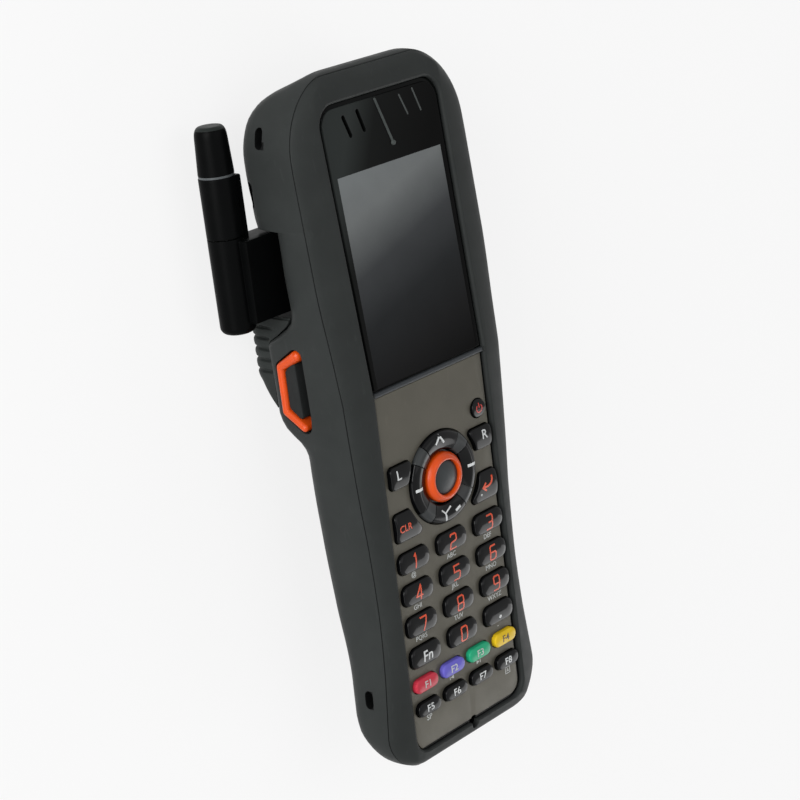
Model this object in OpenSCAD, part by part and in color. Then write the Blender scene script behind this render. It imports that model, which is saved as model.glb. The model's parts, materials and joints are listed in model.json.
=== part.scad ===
// Portable barcode data terminal: a waisted bar that lies on the ribbed hump of its back.
// Pieces are drawn in a bench frame: x to the right, y towards the scanning head from the
// middle of the length, z out of the keypad plate. seat() moves that frame so that the
// origin is the middle of the rest face on the hump.

/* [Case] */
// Overall length of the case
case_l = 196.5; // [194:0.5:200]
// Wall thickness of both shells
wall = 2; // [1.8:0.1:2.2]
// Backward tilt of the display half of the front, in degrees
bend = 4.8; // [4:0.1:5.4]
// Distance of the seam under the glass from the middle of the length
seam_y = 12.4; // [12:0.1:13]
// Depth of the hump's rest face behind the keypad plate
hump_d = 38; // [37:0.5:40]

/* [Keypad] */
// Column pitch of the digit keys
col_p = 15.8; // [15.4:0.1:15.9]
// Row pitch of the digit keys
row_p = 9.4; // [9:0.1:9.6]
// Width of a digit key
digit_w = 12; // [10:0.1:12.2]
// Height of a digit key's outline
digit_h = 6; // [5:0.1:6.4]
// Column pitch of the function keys
fn_p = 11.4; // [11.2:0.1:11.5]
// Width of a function key
fn_w = 9.8; // [8:0.1:10]
// Height of a function key's outline
fn_h = 4.1; // [3.5:0.1:4.6]
// How far a key stands above the plate
key_rise = 1.5; // [1:0.1:1.8]
// Key travel
key_travel = 0.8; // [0.4:0.1:0.8]

/* [Cursor pad] */
// Outer radius of the cursor ring
pad_r = 13.3; // [12.8:0.1:13.4]
// Inner radius of the cursor ring
pad_bore = 7.9; // [7.7:0.1:8.2]
// Outer radius of the ring round the centre key
enter_r = 7.1; // [6.6:0.1:7.3]

/* [Triggers] */
// How far a trigger's rim reaches from the middle of the case
trigger_x = 34.2; // [33.8:0.1:35]

/* [Antenna] */
// Radius of the antenna barrel
barrel_r = 4.9; // [4.7:0.1:5.1]
// Length of the free tip above the band
tip_l = 12.7; // [10:0.1:16]

/* [Battery] */
// Length of the battery pack
battery_l = 70; // [60:1:70]
// Width of the battery pack
battery_w = 41.6; // [36:0.2:41.8]

/* [Hidden] */
$fn = 48;
rest_y = 25.8;       // the rest face's middle, from the middle of the length
y_top = case_l / 2;
y_bot = -case_l / 2;

// Case stations: [distance from mid-length, value]
half_w = [[-98, 31.8], [-88, 31.7], [-77, 30.7], [-66, 29.6], [-49, 28.9], [-31, 29.4],
          [-16, 30.5], [2, 31.5], [23, 32.4], [46, 33.5], [71, 33.5], [98, 32.4]];
swell = [[-98, 0.6], [-16, 0.8], [-3, 0.9], [3, 2], [10, 1.4], [26, 1.2], [40, 0.8], [60, 0.5],
         [98, 0.5]];
depth = [[-98, 15.2], [-84, 17.5], [-78, 18.1], [-64, 19.8], [-49, 22.3], [-31, 23.2],
         [-10, 22.4], [-4, 22], [0, 22.8], [4, 26.2], [8.5, 28], [27, 28], [30, 24],
         [34, 19.3], [38, 18.4], [48, 19], [59.3, 19.3], [59.9, 26.6], [68, 27.6],
         [74, 28.2], [80, 28.4], [86, 28], [92, 26.3], [98, 23.2]];
edge_r = [[-98, 7.8], [-64, 7.6], [-6, 7], [0, 5.8], [8.5, 4], [27, 4], [34, 6.5], [59.3, 7],
          [59.9, 6], [78, 6], [98, 5]];
// The room inside is plain: [distance from mid-length, depth]
room = [[-98, 13.2], [-84, 15.5], [-64, 17.8], [-49, 20.3], [-31, 21.2], [-6, 20], [2, 22],
        [8.5, 25.4], [24, 25.4], [28, 19.6], [33, 16.6], [61.6, 17], [62.2, 24.4],
        [68, 25.4], [80, 26.2], [86, 25.8], [92, 24], [98, 21]];
// How far the front falls and the back rises near each end, by distance from the end
top_fall = [[0, 4.9], [0.3, 3.7], [1, 2.7], [2.2, 1.7], [4, 0.6], [8, 0]];
bot_fall = [[0, 4.7], [0.3, 3.5], [1.2, 1.8], [3, 0.6], [5, 0.1], [7, 0]];
top_rise = [[0, 10], [0.3, 9.6], [1, 8.8], [2.2, 6.9], [4, 3.4], [7, 0.7], [10, 0]];
bot_rise = [[0, 6.6], [0.3, 6.3], [1, 6], [2.2, 5.8], [4, 5.5], [6.5, 4.8], [10, 3],
            [14, 0.8], [18, 0]];
stations = [-84, -80, -72, -64, -56, -49, -40, -31, -16, -4, 0, 4, 8.5, 17, 27, 30, 34, 38,
            48, 59.3, 59.9, 64, 68, 74, 80, 84];
room_stations = [-84, -64, -49, -31, -6, 2, 8.5, 24, 28, 33, 61.6, 62.2, 68, 80, 84];
end_steps = [0, 0.3, 1, 2.2, 4, 6, 8.5, 11.5];
room_steps = [0, 1, 3, 6, 10];
top_plan = [18.5, 20.5];    // the head's corners in plan: across and along
bot_plan = [15, 13.5];      // the lower corners in plan
rim_h = 0.8;         // the rim stands this far above the plate and the glass
crease_h = 2.9;      // fall from the rim's crest to the crease where the shells meet
rim_x = 23.8;        // the rim's crest, from the middle of the case
part_gap = 0.3;      // slit between the shells, which the gasket fills

// Front stack
plate_t = 1;
plate_w = [44.6, 46];     // at the seam and at the foot
plate_y = [-93.2, seam_y - 0.5];
glass_t = 1.6;
glass_y = [1, 78];   // from the seam, along the tilted half
glass_w = [45.2, 46.8];
screen_w = 41;
screen_y = [2, 59.5];
panel_gap = 0.15;
key_gap = 0.25;      // between a key and its window
flange = 0.45;       // the key's flange reaches this far past its outline
flange_z = [-1.95, -1.15];
mat_z = [-4.4, -3.2];
dome_z = -2.8;       // a pressed dome's top
board_t = 1;
pad_y = -17.7;
tray_z = -8.2;       // floor of the battery compartment
battery_z = [-15.6, -8.4];
battery_y = [-10.9 - battery_l, -10.9];
cover_y = [-83.4, -8.6];
cover_w = 44;
cover_t = 1.8;
fit = 0.3;

digit_rows = [-36.7, -36.7 - row_p, -36.7 - 2 * row_p, -36.7 - 3 * row_p];
fn_rows = [-73.3, -80.5];
orange = "#e8501c";
black = "#141516";
shell_grey = "#3a3d3c";
digit_keys = [["key_1", -1, 0], ["key_2", 0, 0], ["key_3", 1, 0],
              ["key_4", -1, 1], ["key_5", 0, 1], ["key_6", 1, 1],
              ["key_7", -1, 2], ["key_8", 0, 2], ["key_9", 1, 2],
              ["key_fn", -1, 3], ["key_0", 0, 3], ["key_point", 1, 3]];
fn_keys = [["key_f1", 0, 0, "#d8465a"], ["key_f2", 1, 0, "#5c5cc0"],
           ["key_f3", 2, 0, "#2fae7d"], ["key_f4", 3, 0, "#e3c02a"],
           ["key_f5", 0, 1, black], ["key_f6", 1, 1, black],
           ["key_f7", 2, 1, black], ["key_f8", 3, 1, black]];

// ---- Frames and helpers ----

module seat() translate([0, -rest_y, hump_d]) children();

// The display half: y counts from the seam, z = 0 is the face of the glass
module tilted() translate([0, seam_y, 0]) rotate([-bend, 0, 0]) children();

module along_x(x0, x1) translate([x0, 0, 0]) rotate([90, 0, 90])
    linear_extrude(x1 - x0) children();

module along_y(y0, y1) translate([0, y1, 0]) rotate([90, 0, 0])
    linear_extrude(y1 - y0) children();

module between(z0, z1) translate([0, 0, z0]) linear_extrude(z1 - z0) children();

module box(x, y, z) translate([x[0], y[0], z[0]]) cube([x[1] - x[0], y[1] - y[0], z[1] - z[0]]);

module both_sides() for (m = [0, 1]) mirror([m, 0, 0]) children();

// A rounded rectangle of true arcs
module pill(w, h, r) {
    square([w - 2 * r, h], center = true);
    square([w, h - 2 * r], center = true);
    for (x = [-1, 1], y = [-1, 1]) translate([x * (w / 2 - r), y * (h / 2 - r)]) circle(r);
}

// A rounded bar from one point to another
module bar(a, b, r) {
    d = b - a;
    translate(a) rotate(atan2(d[1], d[0])) {
        translate([0, -r]) square([norm(d), 2 * r]);
        circle(r);
        translate([norm(d), 0]) circle(r);
    }
}

module round_poly(points, r) hull() for (p = points) translate(p) circle(r, $fn = 24);

// ---- The case as a loft of rings along its length ----

function front_z(y) = y > seam_y ? -(y - seam_y) * tan(bend) : 0;
function crease_z(y) = front_z(y) + rim_h - crease_h;
// Inset of a rounded corner at distance d from the end; plan holds its reach across and along
function nick(d, plan) = d >= plan[1] ? 0
    : plan[0] * (1 - sqrt(1 - (1 - d / plan[1]) * (1 - d / plan[1])));
function crease_x(y, t) = lookup(y, half_w) - t - nick(y_top - t - y, top_plan - [t, t])
    - nick(y - y_bot - t, bot_plan - [t, t]);
function sides(n) = [for (i = [0:n]) 90 * i / n];

function half_ring(y, t) =
    let (d_top = y_top - y, d_bot = y - y_bot, w = crease_x(y, t), b = lookup(y, swell),
         crest = front_z(y) + rim_h - t,
         zt = crest - lookup(d_top, top_fall) - lookup(d_bot, bot_fall),
         zc = min(crest - crease_h, zt - 0.2),
         deep = (t > 1 ? lookup(y, room) : lookup(y, depth) - t)
             - lookup(d_top, top_rise) - lookup(d_bot, bot_rise),
         r = max(0.5, min(lookup(y, edge_r) - t / 2, 0.45 * (deep + zc))),
         h = deep - r + zc)
    concat([[0, zt], [min(rim_x - t, w - 3), zt], [w - 1.2, zc + 0.35 * (zt - zc)], [w, zc],
            [w + 0.7 * b, zc - 0.35 * h], [w + b, zc - 0.75 * h]],
           [for (a = sides(t > 1 ? 3 : 4)) [w + b - r + r * cos(a), -(deep - r) - r * sin(a)]],
           [[0, -deep]]);

function ring(y, t) =
    let (half = half_ring(y, t), n = len(half))
    [for (p = concat(half, [for (i = [n - 2:-1:1]) [-half[i][0], half[i][1]]])) [p[0], y, p[1]]];

function ring_ys(t) =
    let (ends = t > 1 ? room_steps : end_steps)
    concat([for (e = ends) y_bot + t + e], t > 1 ? room_stations : stations,
           [for (i = [len(ends) - 1:-1:0]) y_top - t - ends[i]]);

module loft(t) {
    ys = ring_ys(t);
    rings = [for (y = ys) ring(y, t)];
    n = len(rings[0]);
    last = (len(ys) - 1) * n;
    polyhedron(points = [for (r = rings, p = r) p],
        faces = concat([[for (i = [0:n - 1]) i]], [[for (i = [n - 1:-1:0]) last + i]],
            [for (j = [0:len(ys) - 2], i = [0:n - 1]) let (k = (i + 1) % n)
                each [[j * n + i, (j + 1) * n + i, (j + 1) * n + k],
                      [j * n + i, (j + 1) * n + k, j * n + k]]]));
}

// Everything in front of the crease, or behind it
module side_of_crease(front) {
    far = front ? 20 : -60;
    off = front ? 0.01 : -part_gap;
    along_x(-60, 60) polygon([[-120, crease_z(-120) + off], [seam_y, crease_z(seam_y) + off],
                              [120, crease_z(120) + off], [120, far], [-120, far]]);
}

// The crease's outline inset by t, from y0 to y1, about the seam; stretch lays the display
// half out flat, to be tilted afterwards
module crease_plan(t, y0, y1, stretch) {
    ends = concat([y0], [for (y = ring_ys(t)) if (y > y0 && y < y1) y], [y1]);
    xs = [for (y = ends) crease_x(min(max(y, y_bot + t), y_top - t), t)];
    ys = [for (y = ends) (y - seam_y) * stretch];
    n = len(ends) - 1;
    polygon(concat([for (i = [0:n]) [xs[i], ys[i]]], [for (i = [n:-1:0]) [-xs[i], ys[i]]]));
}

module seal(t0, t1, z0, z1) {
    along = 1 / cos(bend);
    translate([0, seam_y, 0]) between(z0 + crease_z(0), z1 + crease_z(0)) difference() {
        crease_plan(t0, y_bot + t0 + 1.2, seam_y, 1);
        crease_plan(t1, y_bot + t1 + 1.2, seam_y + 1, 1);
    }
    tilted() between(z0 + crease_z(0), z1 + crease_z(0)) difference() {
        crease_plan(t0, seam_y, y_top - t0 - 2.2, along);
        crease_plan(t1, seam_y - 1, y_top - t1 - 2.2, along);
    }
}

// ---- Plan outlines of the front ----

module plate_plan(m) {
    r = 5;
    x0 = plate_w[0] / 2 + m;
    x1 = plate_w[1] / 2 + m;
    hull() {
        for (s = [-1, 1]) translate([s * (x1 - r), plate_y[0] - m + r]) circle(r, $fn = 32);
        translate([-x0, plate_y[1] + m - 1]) square([2 * x0, 1]);
    }
}

module glass_plan(m) {
    r = 6;
    x0 = glass_w[0] / 2 + m;
    x1 = glass_w[1] / 2 + m;
    hull() {
        for (s = [-1, 1]) translate([s * (x1 - r), glass_y[1] + m - r]) circle(r, $fn = 32);
        translate([-x0, glass_y[0] - m]) square([2 * x0, 1]);
    }
}

module digit_shape(m) pill(digit_w + 2 * m, digit_h + 2 * m, 2.2 + m);
module digit_flange() pill(digit_w, digit_h + 2 * flange, 1);
module fn_shape(m) pill(fn_w + 2 * m, fn_h + 2 * m, 1.9 + m);
module fn_flange() pill(fn_w, fn_h + 2 * flange, 1);
module power_shape(m) circle(2.7 + m);

// A key beside the cursor ring, cut away round it; side is -1 on the left and 1 on the right
module beside_pad(side, x, y, clear, m) difference() {
    translate([side * (x[0] + x[1]) / 2, (y[0] + y[1]) / 2])
        pill(x[1] - x[0] + 2 * m, y[1] - y[0] + 2 * m, 1.3 + m);
    translate([0, pad_y]) circle(clear - m);
}
module shoulder_shape(side, m) beside_pad(side, [12.2, 21], [-15, -8.5], 14.6, m);
module hip_shape(side, m) beside_pad(side, [10.8, 21.3], [-30.3, -21.9], 15.2, m);

function digit_at(k) = [k[1] * col_p, digit_rows[k[2]]];
function fn_at(k) = [(k[1] - 1.5) * fn_p, fn_rows[k[2]]];
power_at = [17.5, -3.3];

module key_windows(m) {
    for (k = digit_keys) translate(digit_at(k)) digit_shape(m);
    for (k = fn_keys) translate(fn_at(k)) fn_shape(m);
    translate(power_at) power_shape(m);
    for (s = [-1, 1]) {
        shoulder_shape(s, m);
        hip_shape(s, m);
    }
    translate([0, pad_y]) circle(pad_r + m);
}

// ---- Shells ----

opening_x = 22.3;    // half-width of the front shell's keypad opening
ledge_t = 1.3;
screw_at = [[24, 85], [24.9, -85]];
boss_r = 2.2;
strap_slots = [[[85.4, -19.5], [82.6, -19.2], 1], [[71.2, -24.6], [66.4, -24.8], 1.15],
               [[-73.6, -8.4], [-75.8, -8.3], 1.5]];
slot_floor = 28.2;
sound_slots = [[[-14.2, 73.9], [-12.6, 68.8]], [[-8.7, 74.4], [-7.3, 69.2]]];
lamp_slots = [[[7.9, 75.3], [10, 69.8]], [[13.3, 75.9], [15.3, 69.7]]];
guide_rib = [[-1.4, 75.4], [2.4, 63.6]];
slot_r = 0.45;
notch_at = [1.1, -92];

module front_case() color(shell_grey) seat() difference() {
    union() {
        intersection() {
            difference() {
                loft(0);
                loft(wall);
            }
            side_of_crease(true);
        }
        // ledges that carry the plate and the glass
        between(-plate_t - 0.05 - ledge_t, -0.6) plate_plan(1.6);
        tilted() between(-glass_t - 0.05 - ledge_t, -0.6) glass_plan(1.2);
        both_sides() for (p = screw_at) translate([p[0], p[1], crease_z(p[1]) - 2.6])
            cylinder(r = boss_r, h = 3.4, $fn = 24);
    }
    between(-plate_t - 0.05, 3) plate_plan(panel_gap);
    tilted() between(-glass_t - 0.05, 3) glass_plan(panel_gap);
    box([-plate_w[0] / 2 - 0.1, plate_w[0] / 2 + 0.1], [seam_y - 0.6, seam_y + 1.1], [-plate_t - 0.05, 3]);
    between(-5, 0) translate([0, (plate_y[0] + 1.8 + seam_y - 3) / 2])
        pill(2 * opening_x, seam_y - 3 - plate_y[0] - 1.8, 3);
    tilted() between(-8, 0) translate([0, (screen_y[0] + screen_y[1]) / 2 + 0.4])
        pill(screen_w + 1, screen_y[1] - screen_y[0] + 1.6, 1);
    tilted() for (s = concat(sound_slots, lamp_slots)) hull() for (p = s)
        translate([p[0], p[1], -6]) cylinder(r = slot_r + 0.15, h = 6, $fn = 16);
    // microphone notch at the foot of the plate
    hull() for (dy = [0, -2]) translate([notch_at[0], notch_at[1] + dy, -1.8])
        cylinder(r = 1.4, h = 4, $fn = 24);
    both_sides() for (p = screw_at) translate([p[0], p[1], crease_z(p[1]) - 3])
        cylinder(r = 1.05, h = 3.2, $fn = 16);
}

// Outline of a trigger's rim in side view, moved out by m and, at the front, further by front
module trigger_outline(m, front = 0)
    round_poly([[25.2, -16.3 + front], [25.2, -16.3], [21.4, -22.1], [9.4, -22.1], [5.8, -16.2],
                [5.8, -16.2 + front]], 1.9 + m);

// Slanted seat of the scan window, where the head's back rolls up to its end; z is outwards
module scan_facet() translate([0, 94.2, -20.6]) rotate([-122.5, 0, 0]) children();

module cover_plan(m) round_poly([for (x = [-1, 1], y = [0, 1])
    [x * (cover_w / 2 - 3), cover_y[y] + 3 - 6 * y]], 3 + m);

module rear_case() color(shell_grey) seat() difference() {
    union() {
        intersection() {
            difference() {
                loft(0);
                loft(wall);
            }
            side_of_crease(false);
        }
        // battery compartment, strap slots, screw bosses, board posts, scan window seat
        intersection() {
            loft(0.4);
            union() {
                box([-24, 24], [cover_y[0] - 1.4, cover_y[1] + 1.4], [-40, tray_z + 1.3]);
                both_sides() for (s = strap_slots) along_x(slot_floor - 1.5, 40)
                    round_poly([s[0], s[1]], s[2] + 1.5);
                both_sides() for (p = screw_at) translate([p[0], p[1], -40])
                    cylinder(r = boss_r + 0.3, h = 40 + crease_z(p[1]) - 2.8, $fn = 24);
                for (x = [-20, 20], y = [26, 56]) translate([x, y, -40])
                    cylinder(r = 2.2, h = 40 + front_z(y) - 9.3, $fn = 16);
                scan_facet() box([-15.6, 15.6], [-5.8, 5.8], [-4.2, 4]);
            }
        }
    }
    intersection() {
        between(-40, tray_z) cover_plan(fit);
        along_x(-40, 40) cover_profile(-0.15, -40);
    }
    box([-21.2, 21.2], [cover_y[0] + 1, cover_y[1] - 1], [-40, tray_z]);
    both_sides() along_x(27, 40) trigger_outline(0.25, 0.4);
    both_sides() for (s = strap_slots) along_x(slot_floor, 40)
        round_poly([s[0], s[1]], s[2]);
    both_sides() for (p = screw_at) translate([p[0], p[1], -40]) {
        cylinder(r = 1.15, h = 45, $fn = 16);
        cylinder(r = 1.9, h = 40 - lookup(p[1], depth) + 4.2, $fn = 24);
    }
    // the front shell's bosses reach in
    both_sides() for (p = screw_at) translate([p[0], p[1], crease_z(p[1]) - 2.65])
        cylinder(r = boss_r + 0.15, h = 4, $fn = 24);
    scan_facet() {
        box([-14, 14], [-4.1, 4.1], [-2.4, 12]);
        box([-12.2, 12.2], [-3.2, 3.2], [-8, 0]);
    }
    // contact slot of the cradle at the lower end
    along_y(y_bot - 1, y_bot + 5) round_poly([for (x = [-9, 9], z = [-7.3, -5.9]) [x, z]], 0.9);
}

// Where the back bends under the cover, from a distance m below its foot to m past its head
function cover_bends(m) = [cover_y[0] - m, -78, -64, -49, -31, -10, cover_y[1] + m];

// The back's outline in side view, moved out by m, closed off at depth deep
module cover_profile(m, deep)
    polygon(concat([for (y = cover_bends(1)) [y, -lookup(y, depth) + cover_t - m]],
                   [[cover_y[1] + 1, deep], [cover_y[0] - 1, deep]]));

module case_gasket() color("#202224") seat() seal(0.6, 1.8, 0.02 - part_gap, -0.02);

// ---- Grip hump ----

grip_w = 31.2;
grip_y = [8, 35];
grip_seat = 0.05;    // it seats this far behind the case's back
rib_at = [18.5, 21.7, 24.8, 27.9, 31];
rib_w = 0.8;         // width and depth of the grooves between the ribs

module u_section(w, deep, r) {
    translate([-w, -deep + r]) square([2 * w, deep - r - 20]);
    translate([-(w - r), -deep]) square([2 * (w - r), r + 1]);
    for (s = [-1, 1]) translate([s * (w - r), -deep + r]) circle(r);
}

module rear_grip() color(shell_grey) seat() difference() {
    intersection() {
        along_y(grip_y[0], grip_y[1]) u_section(grip_w, hump_d, 6.5);
        along_x(-40, 40) polygon(concat(
            [for (y = [34.9, 34, 30, 27, 8.8]) [y, -lookup(y, depth) - grip_seat]],
            [[10.4, -28.8], [12.6, -31.8], [15.2, -35], [16.3, -36.4], [17.3, -37.4],
             [18.6, -hump_d], [33, -hump_d], [34.3, -hump_d + 0.6], [34.9, -hump_d + 2]]));
    }
    // finger ribs round both flanks
    for (y = rib_at) along_y(y, y + rib_w) difference() {
        translate([-40, -hump_d - 1]) square([80, 10.5]);
        u_section(grip_w - rib_w, hump_d - rib_w, 6);
        translate([-15, -60]) square([30, 60]);
    }
    // it is moulded hollow
    box([-grip_w + 3, grip_w - 3], [17.5, 32], [-hump_d + 3, -18]);
}

// ---- Battery side ----

lock_y = -17;
lock_z = -lookup(lock_y, depth);

module battery_cover() color(shell_grey) seat() difference() {
    intersection() {
        along_x(-cover_w / 2, cover_w / 2)
            polygon(concat([for (y = cover_bends(0)) [y, -lookup(y, depth)]],
                           [for (i = [6:-1:0]) let (y = cover_bends(0)[i])
                               [y, -lookup(y, depth) + cover_t]]));
        between(-40, 0) translate([0, (cover_y[0] + cover_y[1]) / 2])
            pill(cover_w, cover_y[1] - cover_y[0], 3);
    }
    // pocket and slot of the lock
    translate([0, lock_y, lock_z - 1]) linear_extrude(1.9) pill(22, 9, 1.5);
    translate([0, lock_y, lock_z - 1]) linear_extrude(5) pill(12, 3, 1.2);
    // finger grooves
    for (i = [0:3]) let (y = cover_y[0] + 4 + i * 2.4) along_y(y, y + 1)
        translate([-9, -lookup(y, depth) - 1]) square([18, 1.5]);
}

module cover_lock() color(orange) seat() translate([3.2, lock_y, lock_z]) {
    translate([0, 0, 0.05]) linear_extrude(0.8) pill(14, 8.2, 1.2);
    for (x = [-4, -2, 0, 2, 4]) translate([x, 0, -0.35]) linear_extrude(0.6) pill(0.9, 6, 0.44);
    translate([0, 0, 0.5]) linear_extrude(2.2) pill(4.6, 2.4, 0.8);
    translate([0, 0, 2.1]) linear_extrude(0.8) pill(8, 5, 0.8);
}

module battery_pack() color("#23262a") seat() {
    difference() {
        between(battery_z[0], battery_z[1])
            translate([0, (battery_y[0] + battery_y[1]) / 2]) pill(battery_w, battery_l, 3);
        for (x = [-6, 0, 6]) box([x - 1.3, x + 1.3], [battery_y[1] - 0.6, battery_y[1] + 1],
                                 [battery_z[1] - 4.6, battery_z[1] - 1.6]);
    }
}

module battery_contacts() color("#c8a040") seat() for (x = [-6, 0, 6])
    box([x - 0.9, x + 0.9], [battery_y[1] + 0.3, cover_y[1] - 1.05],
        [battery_z[1] - 4.4, battery_z[1] - 1.8]);

// ---- Display half ----

module display_window() color(black) seat() tilted() {
    difference() {
        between(-glass_t, 0) glass_plan(0);
        between(-3, 1) for (s = concat(sound_slots, lamp_slots)) bar(s[0], s[1], slot_r);
    }
    between(-0.1, 0.45) bar(guide_rib[0], guide_rib[1], 0.35);
    translate(concat(guide_rib[1], [-0.1])) cylinder(r = 0.8, h = 0.75);
}

module indicator_lenses() color("#c9d6d2") seat() tilted()
    for (s = lamp_slots) between(-glass_t - 2.4, 0.1) bar(s[0], s[1], slot_r - 0.05);

module display_module() color("#2b3033") seat() tilted() {
    box([-screen_w / 2, screen_w / 2], screen_y, [-3.6, -glass_t - 0.05]);
    box([-22, 22], [0.5, 62], [-6.6, -3.4]);
}

module seam_trim() color("#6d7172") seat()
    along_x(-plate_w[0] / 2, plate_w[0] / 2)
        polygon([[seam_y - 0.45, -1], [seam_y + 0.85, -1], [seam_y + 0.85, 0], [seam_y + 0.6, 0.35],
                 [seam_y - 0.2, 0.35], [seam_y - 0.45, 0]]);

module speaker() color("#55585a") seat() tilted() translate([-10.8, 69.5, -7.4]) {
    cylinder(r = 6.8, h = 3);
    cylinder(r = 5.2, h = 4.1);
}

module scan_engine() color("#2e3234") seat() {
    box([-12, 12], [70, 88], [-19.4, -13.8]);
    scan_facet() translate([0, 1.5, -10.5]) cylinder(r = 2.4, h = 4);
}

module scan_window() color("#5a1014") seat() scan_facet()
    between(-2.35, -1.25) pill(27.6, 7.9, 0.6);

module main_board() color("#1f5a3c") seat() tilted() {
    box([-26, 26], [2, 54], [-9, -7.8]);
    for (c = [[-9.5, 20, 14, 14, 1.6], [10, 28, 12, 10, 1.2], [8, 46, 16, 9, 2], [-12, 44, 8, 8, 1.4]])
        translate([c[0], c[1], -9 - c[4] / 2]) cube([c[2], c[3], c[4] + 0.02], center = true);
}

// ---- Keypad ----

module keypad_plate() color("#6f685f") seat() difference() {
    between(-plate_t, 0) plate_plan(0);
    between(-3, 1) {
        key_windows(key_gap);
        translate(notch_at - [0, 1.2]) pill(2.8, 3.4, 1.3);
    }
}

// A glossy cap: crowned top over a straight skirt, with a flange that the plate holds down
module cap(rise, crown_r) {
    intersection() {
        between(flange_z[0], rise) children(0);
        translate([0, 0, rise - crown_r]) rotate([0, 90, 0])
            cylinder(r = crown_r, h = 40, center = true, $fn = 96);
    }
    between(flange_z[0], flange_z[1]) children(1);
}

module digit_key(k) color(black) seat() translate(digit_at(k)) cap(key_rise, 9) {
    digit_shape(0);
    digit_flange();
}

module fn_key(k) color(k[3]) seat() translate(fn_at(k)) cap(key_rise, 7) {
    fn_shape(0);
    fn_flange();
}

module power_key() color(black) seat() translate(power_at) cap(0.9, 6) {
    power_shape(0);
    power_shape(flange);
}

module beside_key(centre_y) color(black) seat() translate([0, centre_y]) cap(key_rise, 12) {
    translate([0, -centre_y]) children(0);
    translate([0, -centre_y]) children(1);
}

module left_key() beside_key(-11.7) { shoulder_shape(-1, 0); shoulder_shape(-1, flange); }
module right_key() beside_key(-11.7) { shoulder_shape(1, 0); shoulder_shape(1, flange); }
module clear_key() beside_key(-26.1) { hip_shape(-1, 0); hip_shape(-1, flange); }
module back_key() beside_key(-26.1) { hip_shape(1, 0); hip_shape(1, flange); }

module key_mat() color("#3c3f41") seat() {
    difference() {
        between(mat_z[0], mat_z[1]) translate([0, -40.6]) pill(44.4, 99, 3);
        translate([0, pad_y, mat_z[1] - 0.2]) cylinder(r = 14.6, h = 2);
    }
    for (k = digit_keys) translate(concat(digit_at(k), [mat_z[1] - 0.1]))
        cylinder(r1 = 2.4, r2 = 1.8, h = dome_z - mat_z[1] + 0.1);
    for (k = fn_keys) translate(concat(fn_at(k), [mat_z[1] - 0.1]))
        cylinder(r1 = 1.8, r2 = 1.3, h = dome_z - mat_z[1] + 0.1);
    for (p = [power_at, [-17, -11.4], [17, -11.4], [-17.4, -26], [17.4, -26]])
        translate(concat(p, [mat_z[1] - 0.1])) cylinder(r1 = 2, r2 = 1.5, h = dome_z - mat_z[1] + 0.1);
}

module key_board() color("#1f5a3c") seat()
    between(mat_z[0] - board_t, mat_z[0]) translate([0, -40.6]) pill(44.8, 100, 2);

// ---- Cursor pad: a ring that rocks on both axes round a centre key that sinks ----

module cursor_ring() color(black) seat() translate([0, pad_y, 0]) rotate_extrude($fn = 96)
    polygon([[pad_bore, -1.2], [pad_r - 0.1, -1.2], [pad_r, 0.3], [pad_r - 0.3, 1], [pad_r - 1, 1.5],
             [pad_r - 2.2, 1.7], [pad_bore + 1.4, 1.3], [pad_bore + 0.4, 0.9], [pad_bore, 0.5]]);

module cursor_rocker() color("#3c3f41") seat() translate([0, pad_y, -2.3]) difference() {
    cylinder(r = 13.7, h = 0.5);
    translate([0, 0, -1]) cylinder(r = 8.2, h = 3);
}

module enter_ring() color(orange) seat() translate([0, pad_y, 0]) rotate_extrude($fn = 96)
    polygon([[5, -1], [enter_r, -1], [enter_r, 0.9], [enter_r - 0.3, 1.3], [6, 2.2], [5.5, 2.4],
             [5.1, 2.3], [5, 2.1]]);

module enter_button() color("#3b3e41") seat() translate([0, pad_y, 0]) {
    intersection() {
        translate([0, 0, -1.6]) cylinder(r = 4.9, h = 5);
        translate([0, 0, 2.3 - 14]) sphere(14, $fn = 96);
    }
    translate([0, 0, -2]) cylinder(r = 7.5, h = 0.95);
}

// ---- Side triggers: a C-shaped rim round a flat pad, sunk in a window of the side ----

trigger_in = 28.6;
trigger_seat = 29.8;

module trigger_pad_outline(m)
    round_poly([[23.1, -15.6], [20.5, -19.8], [10.5, -19.8], [8.2, -15.8]], 1.5 + m);

module trigger_rim() color(orange) seat() along_x(trigger_seat, trigger_x) difference() {
    trigger_outline(-0.05);
    trigger_pad_outline(0.1);
    polygon([[7.4, -13], [23.6, -13], [22.4, -17.2], [8.4, -16.5]]);
}

module trigger_pad() color("#4a4d4f") seat() {
    along_x(trigger_seat - 0.2, trigger_x - 0.9) intersection() {
        trigger_pad_outline(0);
        polygon([[0, -30], [40, -30], [40, -18], [0, -16.2]]);
    }
    along_x(trigger_in, trigger_seat) trigger_outline(1, 0.4);
}

module left_trigger_rim() mirror([1, 0, 0]) trigger_rim();
module left_trigger_pad() mirror([1, 0, 0]) trigger_pad();
module right_trigger_rim() trigger_rim();
module right_trigger_pad() trigger_pad();

module side_switches() color("#a0a3a5") seat() both_sides() {
    box([23.6, 26.4], [13.5, 19.5], [-21.5, -15.5]);
    translate([26.3, 16.5, -19]) rotate([0, 90, 0]) cylinder(r = 1.4, h = 1);
}

// ---- Antenna unit on the back left ----

barrel_at = [-41.8, -27.3];
barrel_y = [33.6, 75.9];
module_y = [36.4, 58.8];
module_z = [-29, -19.7];

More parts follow.
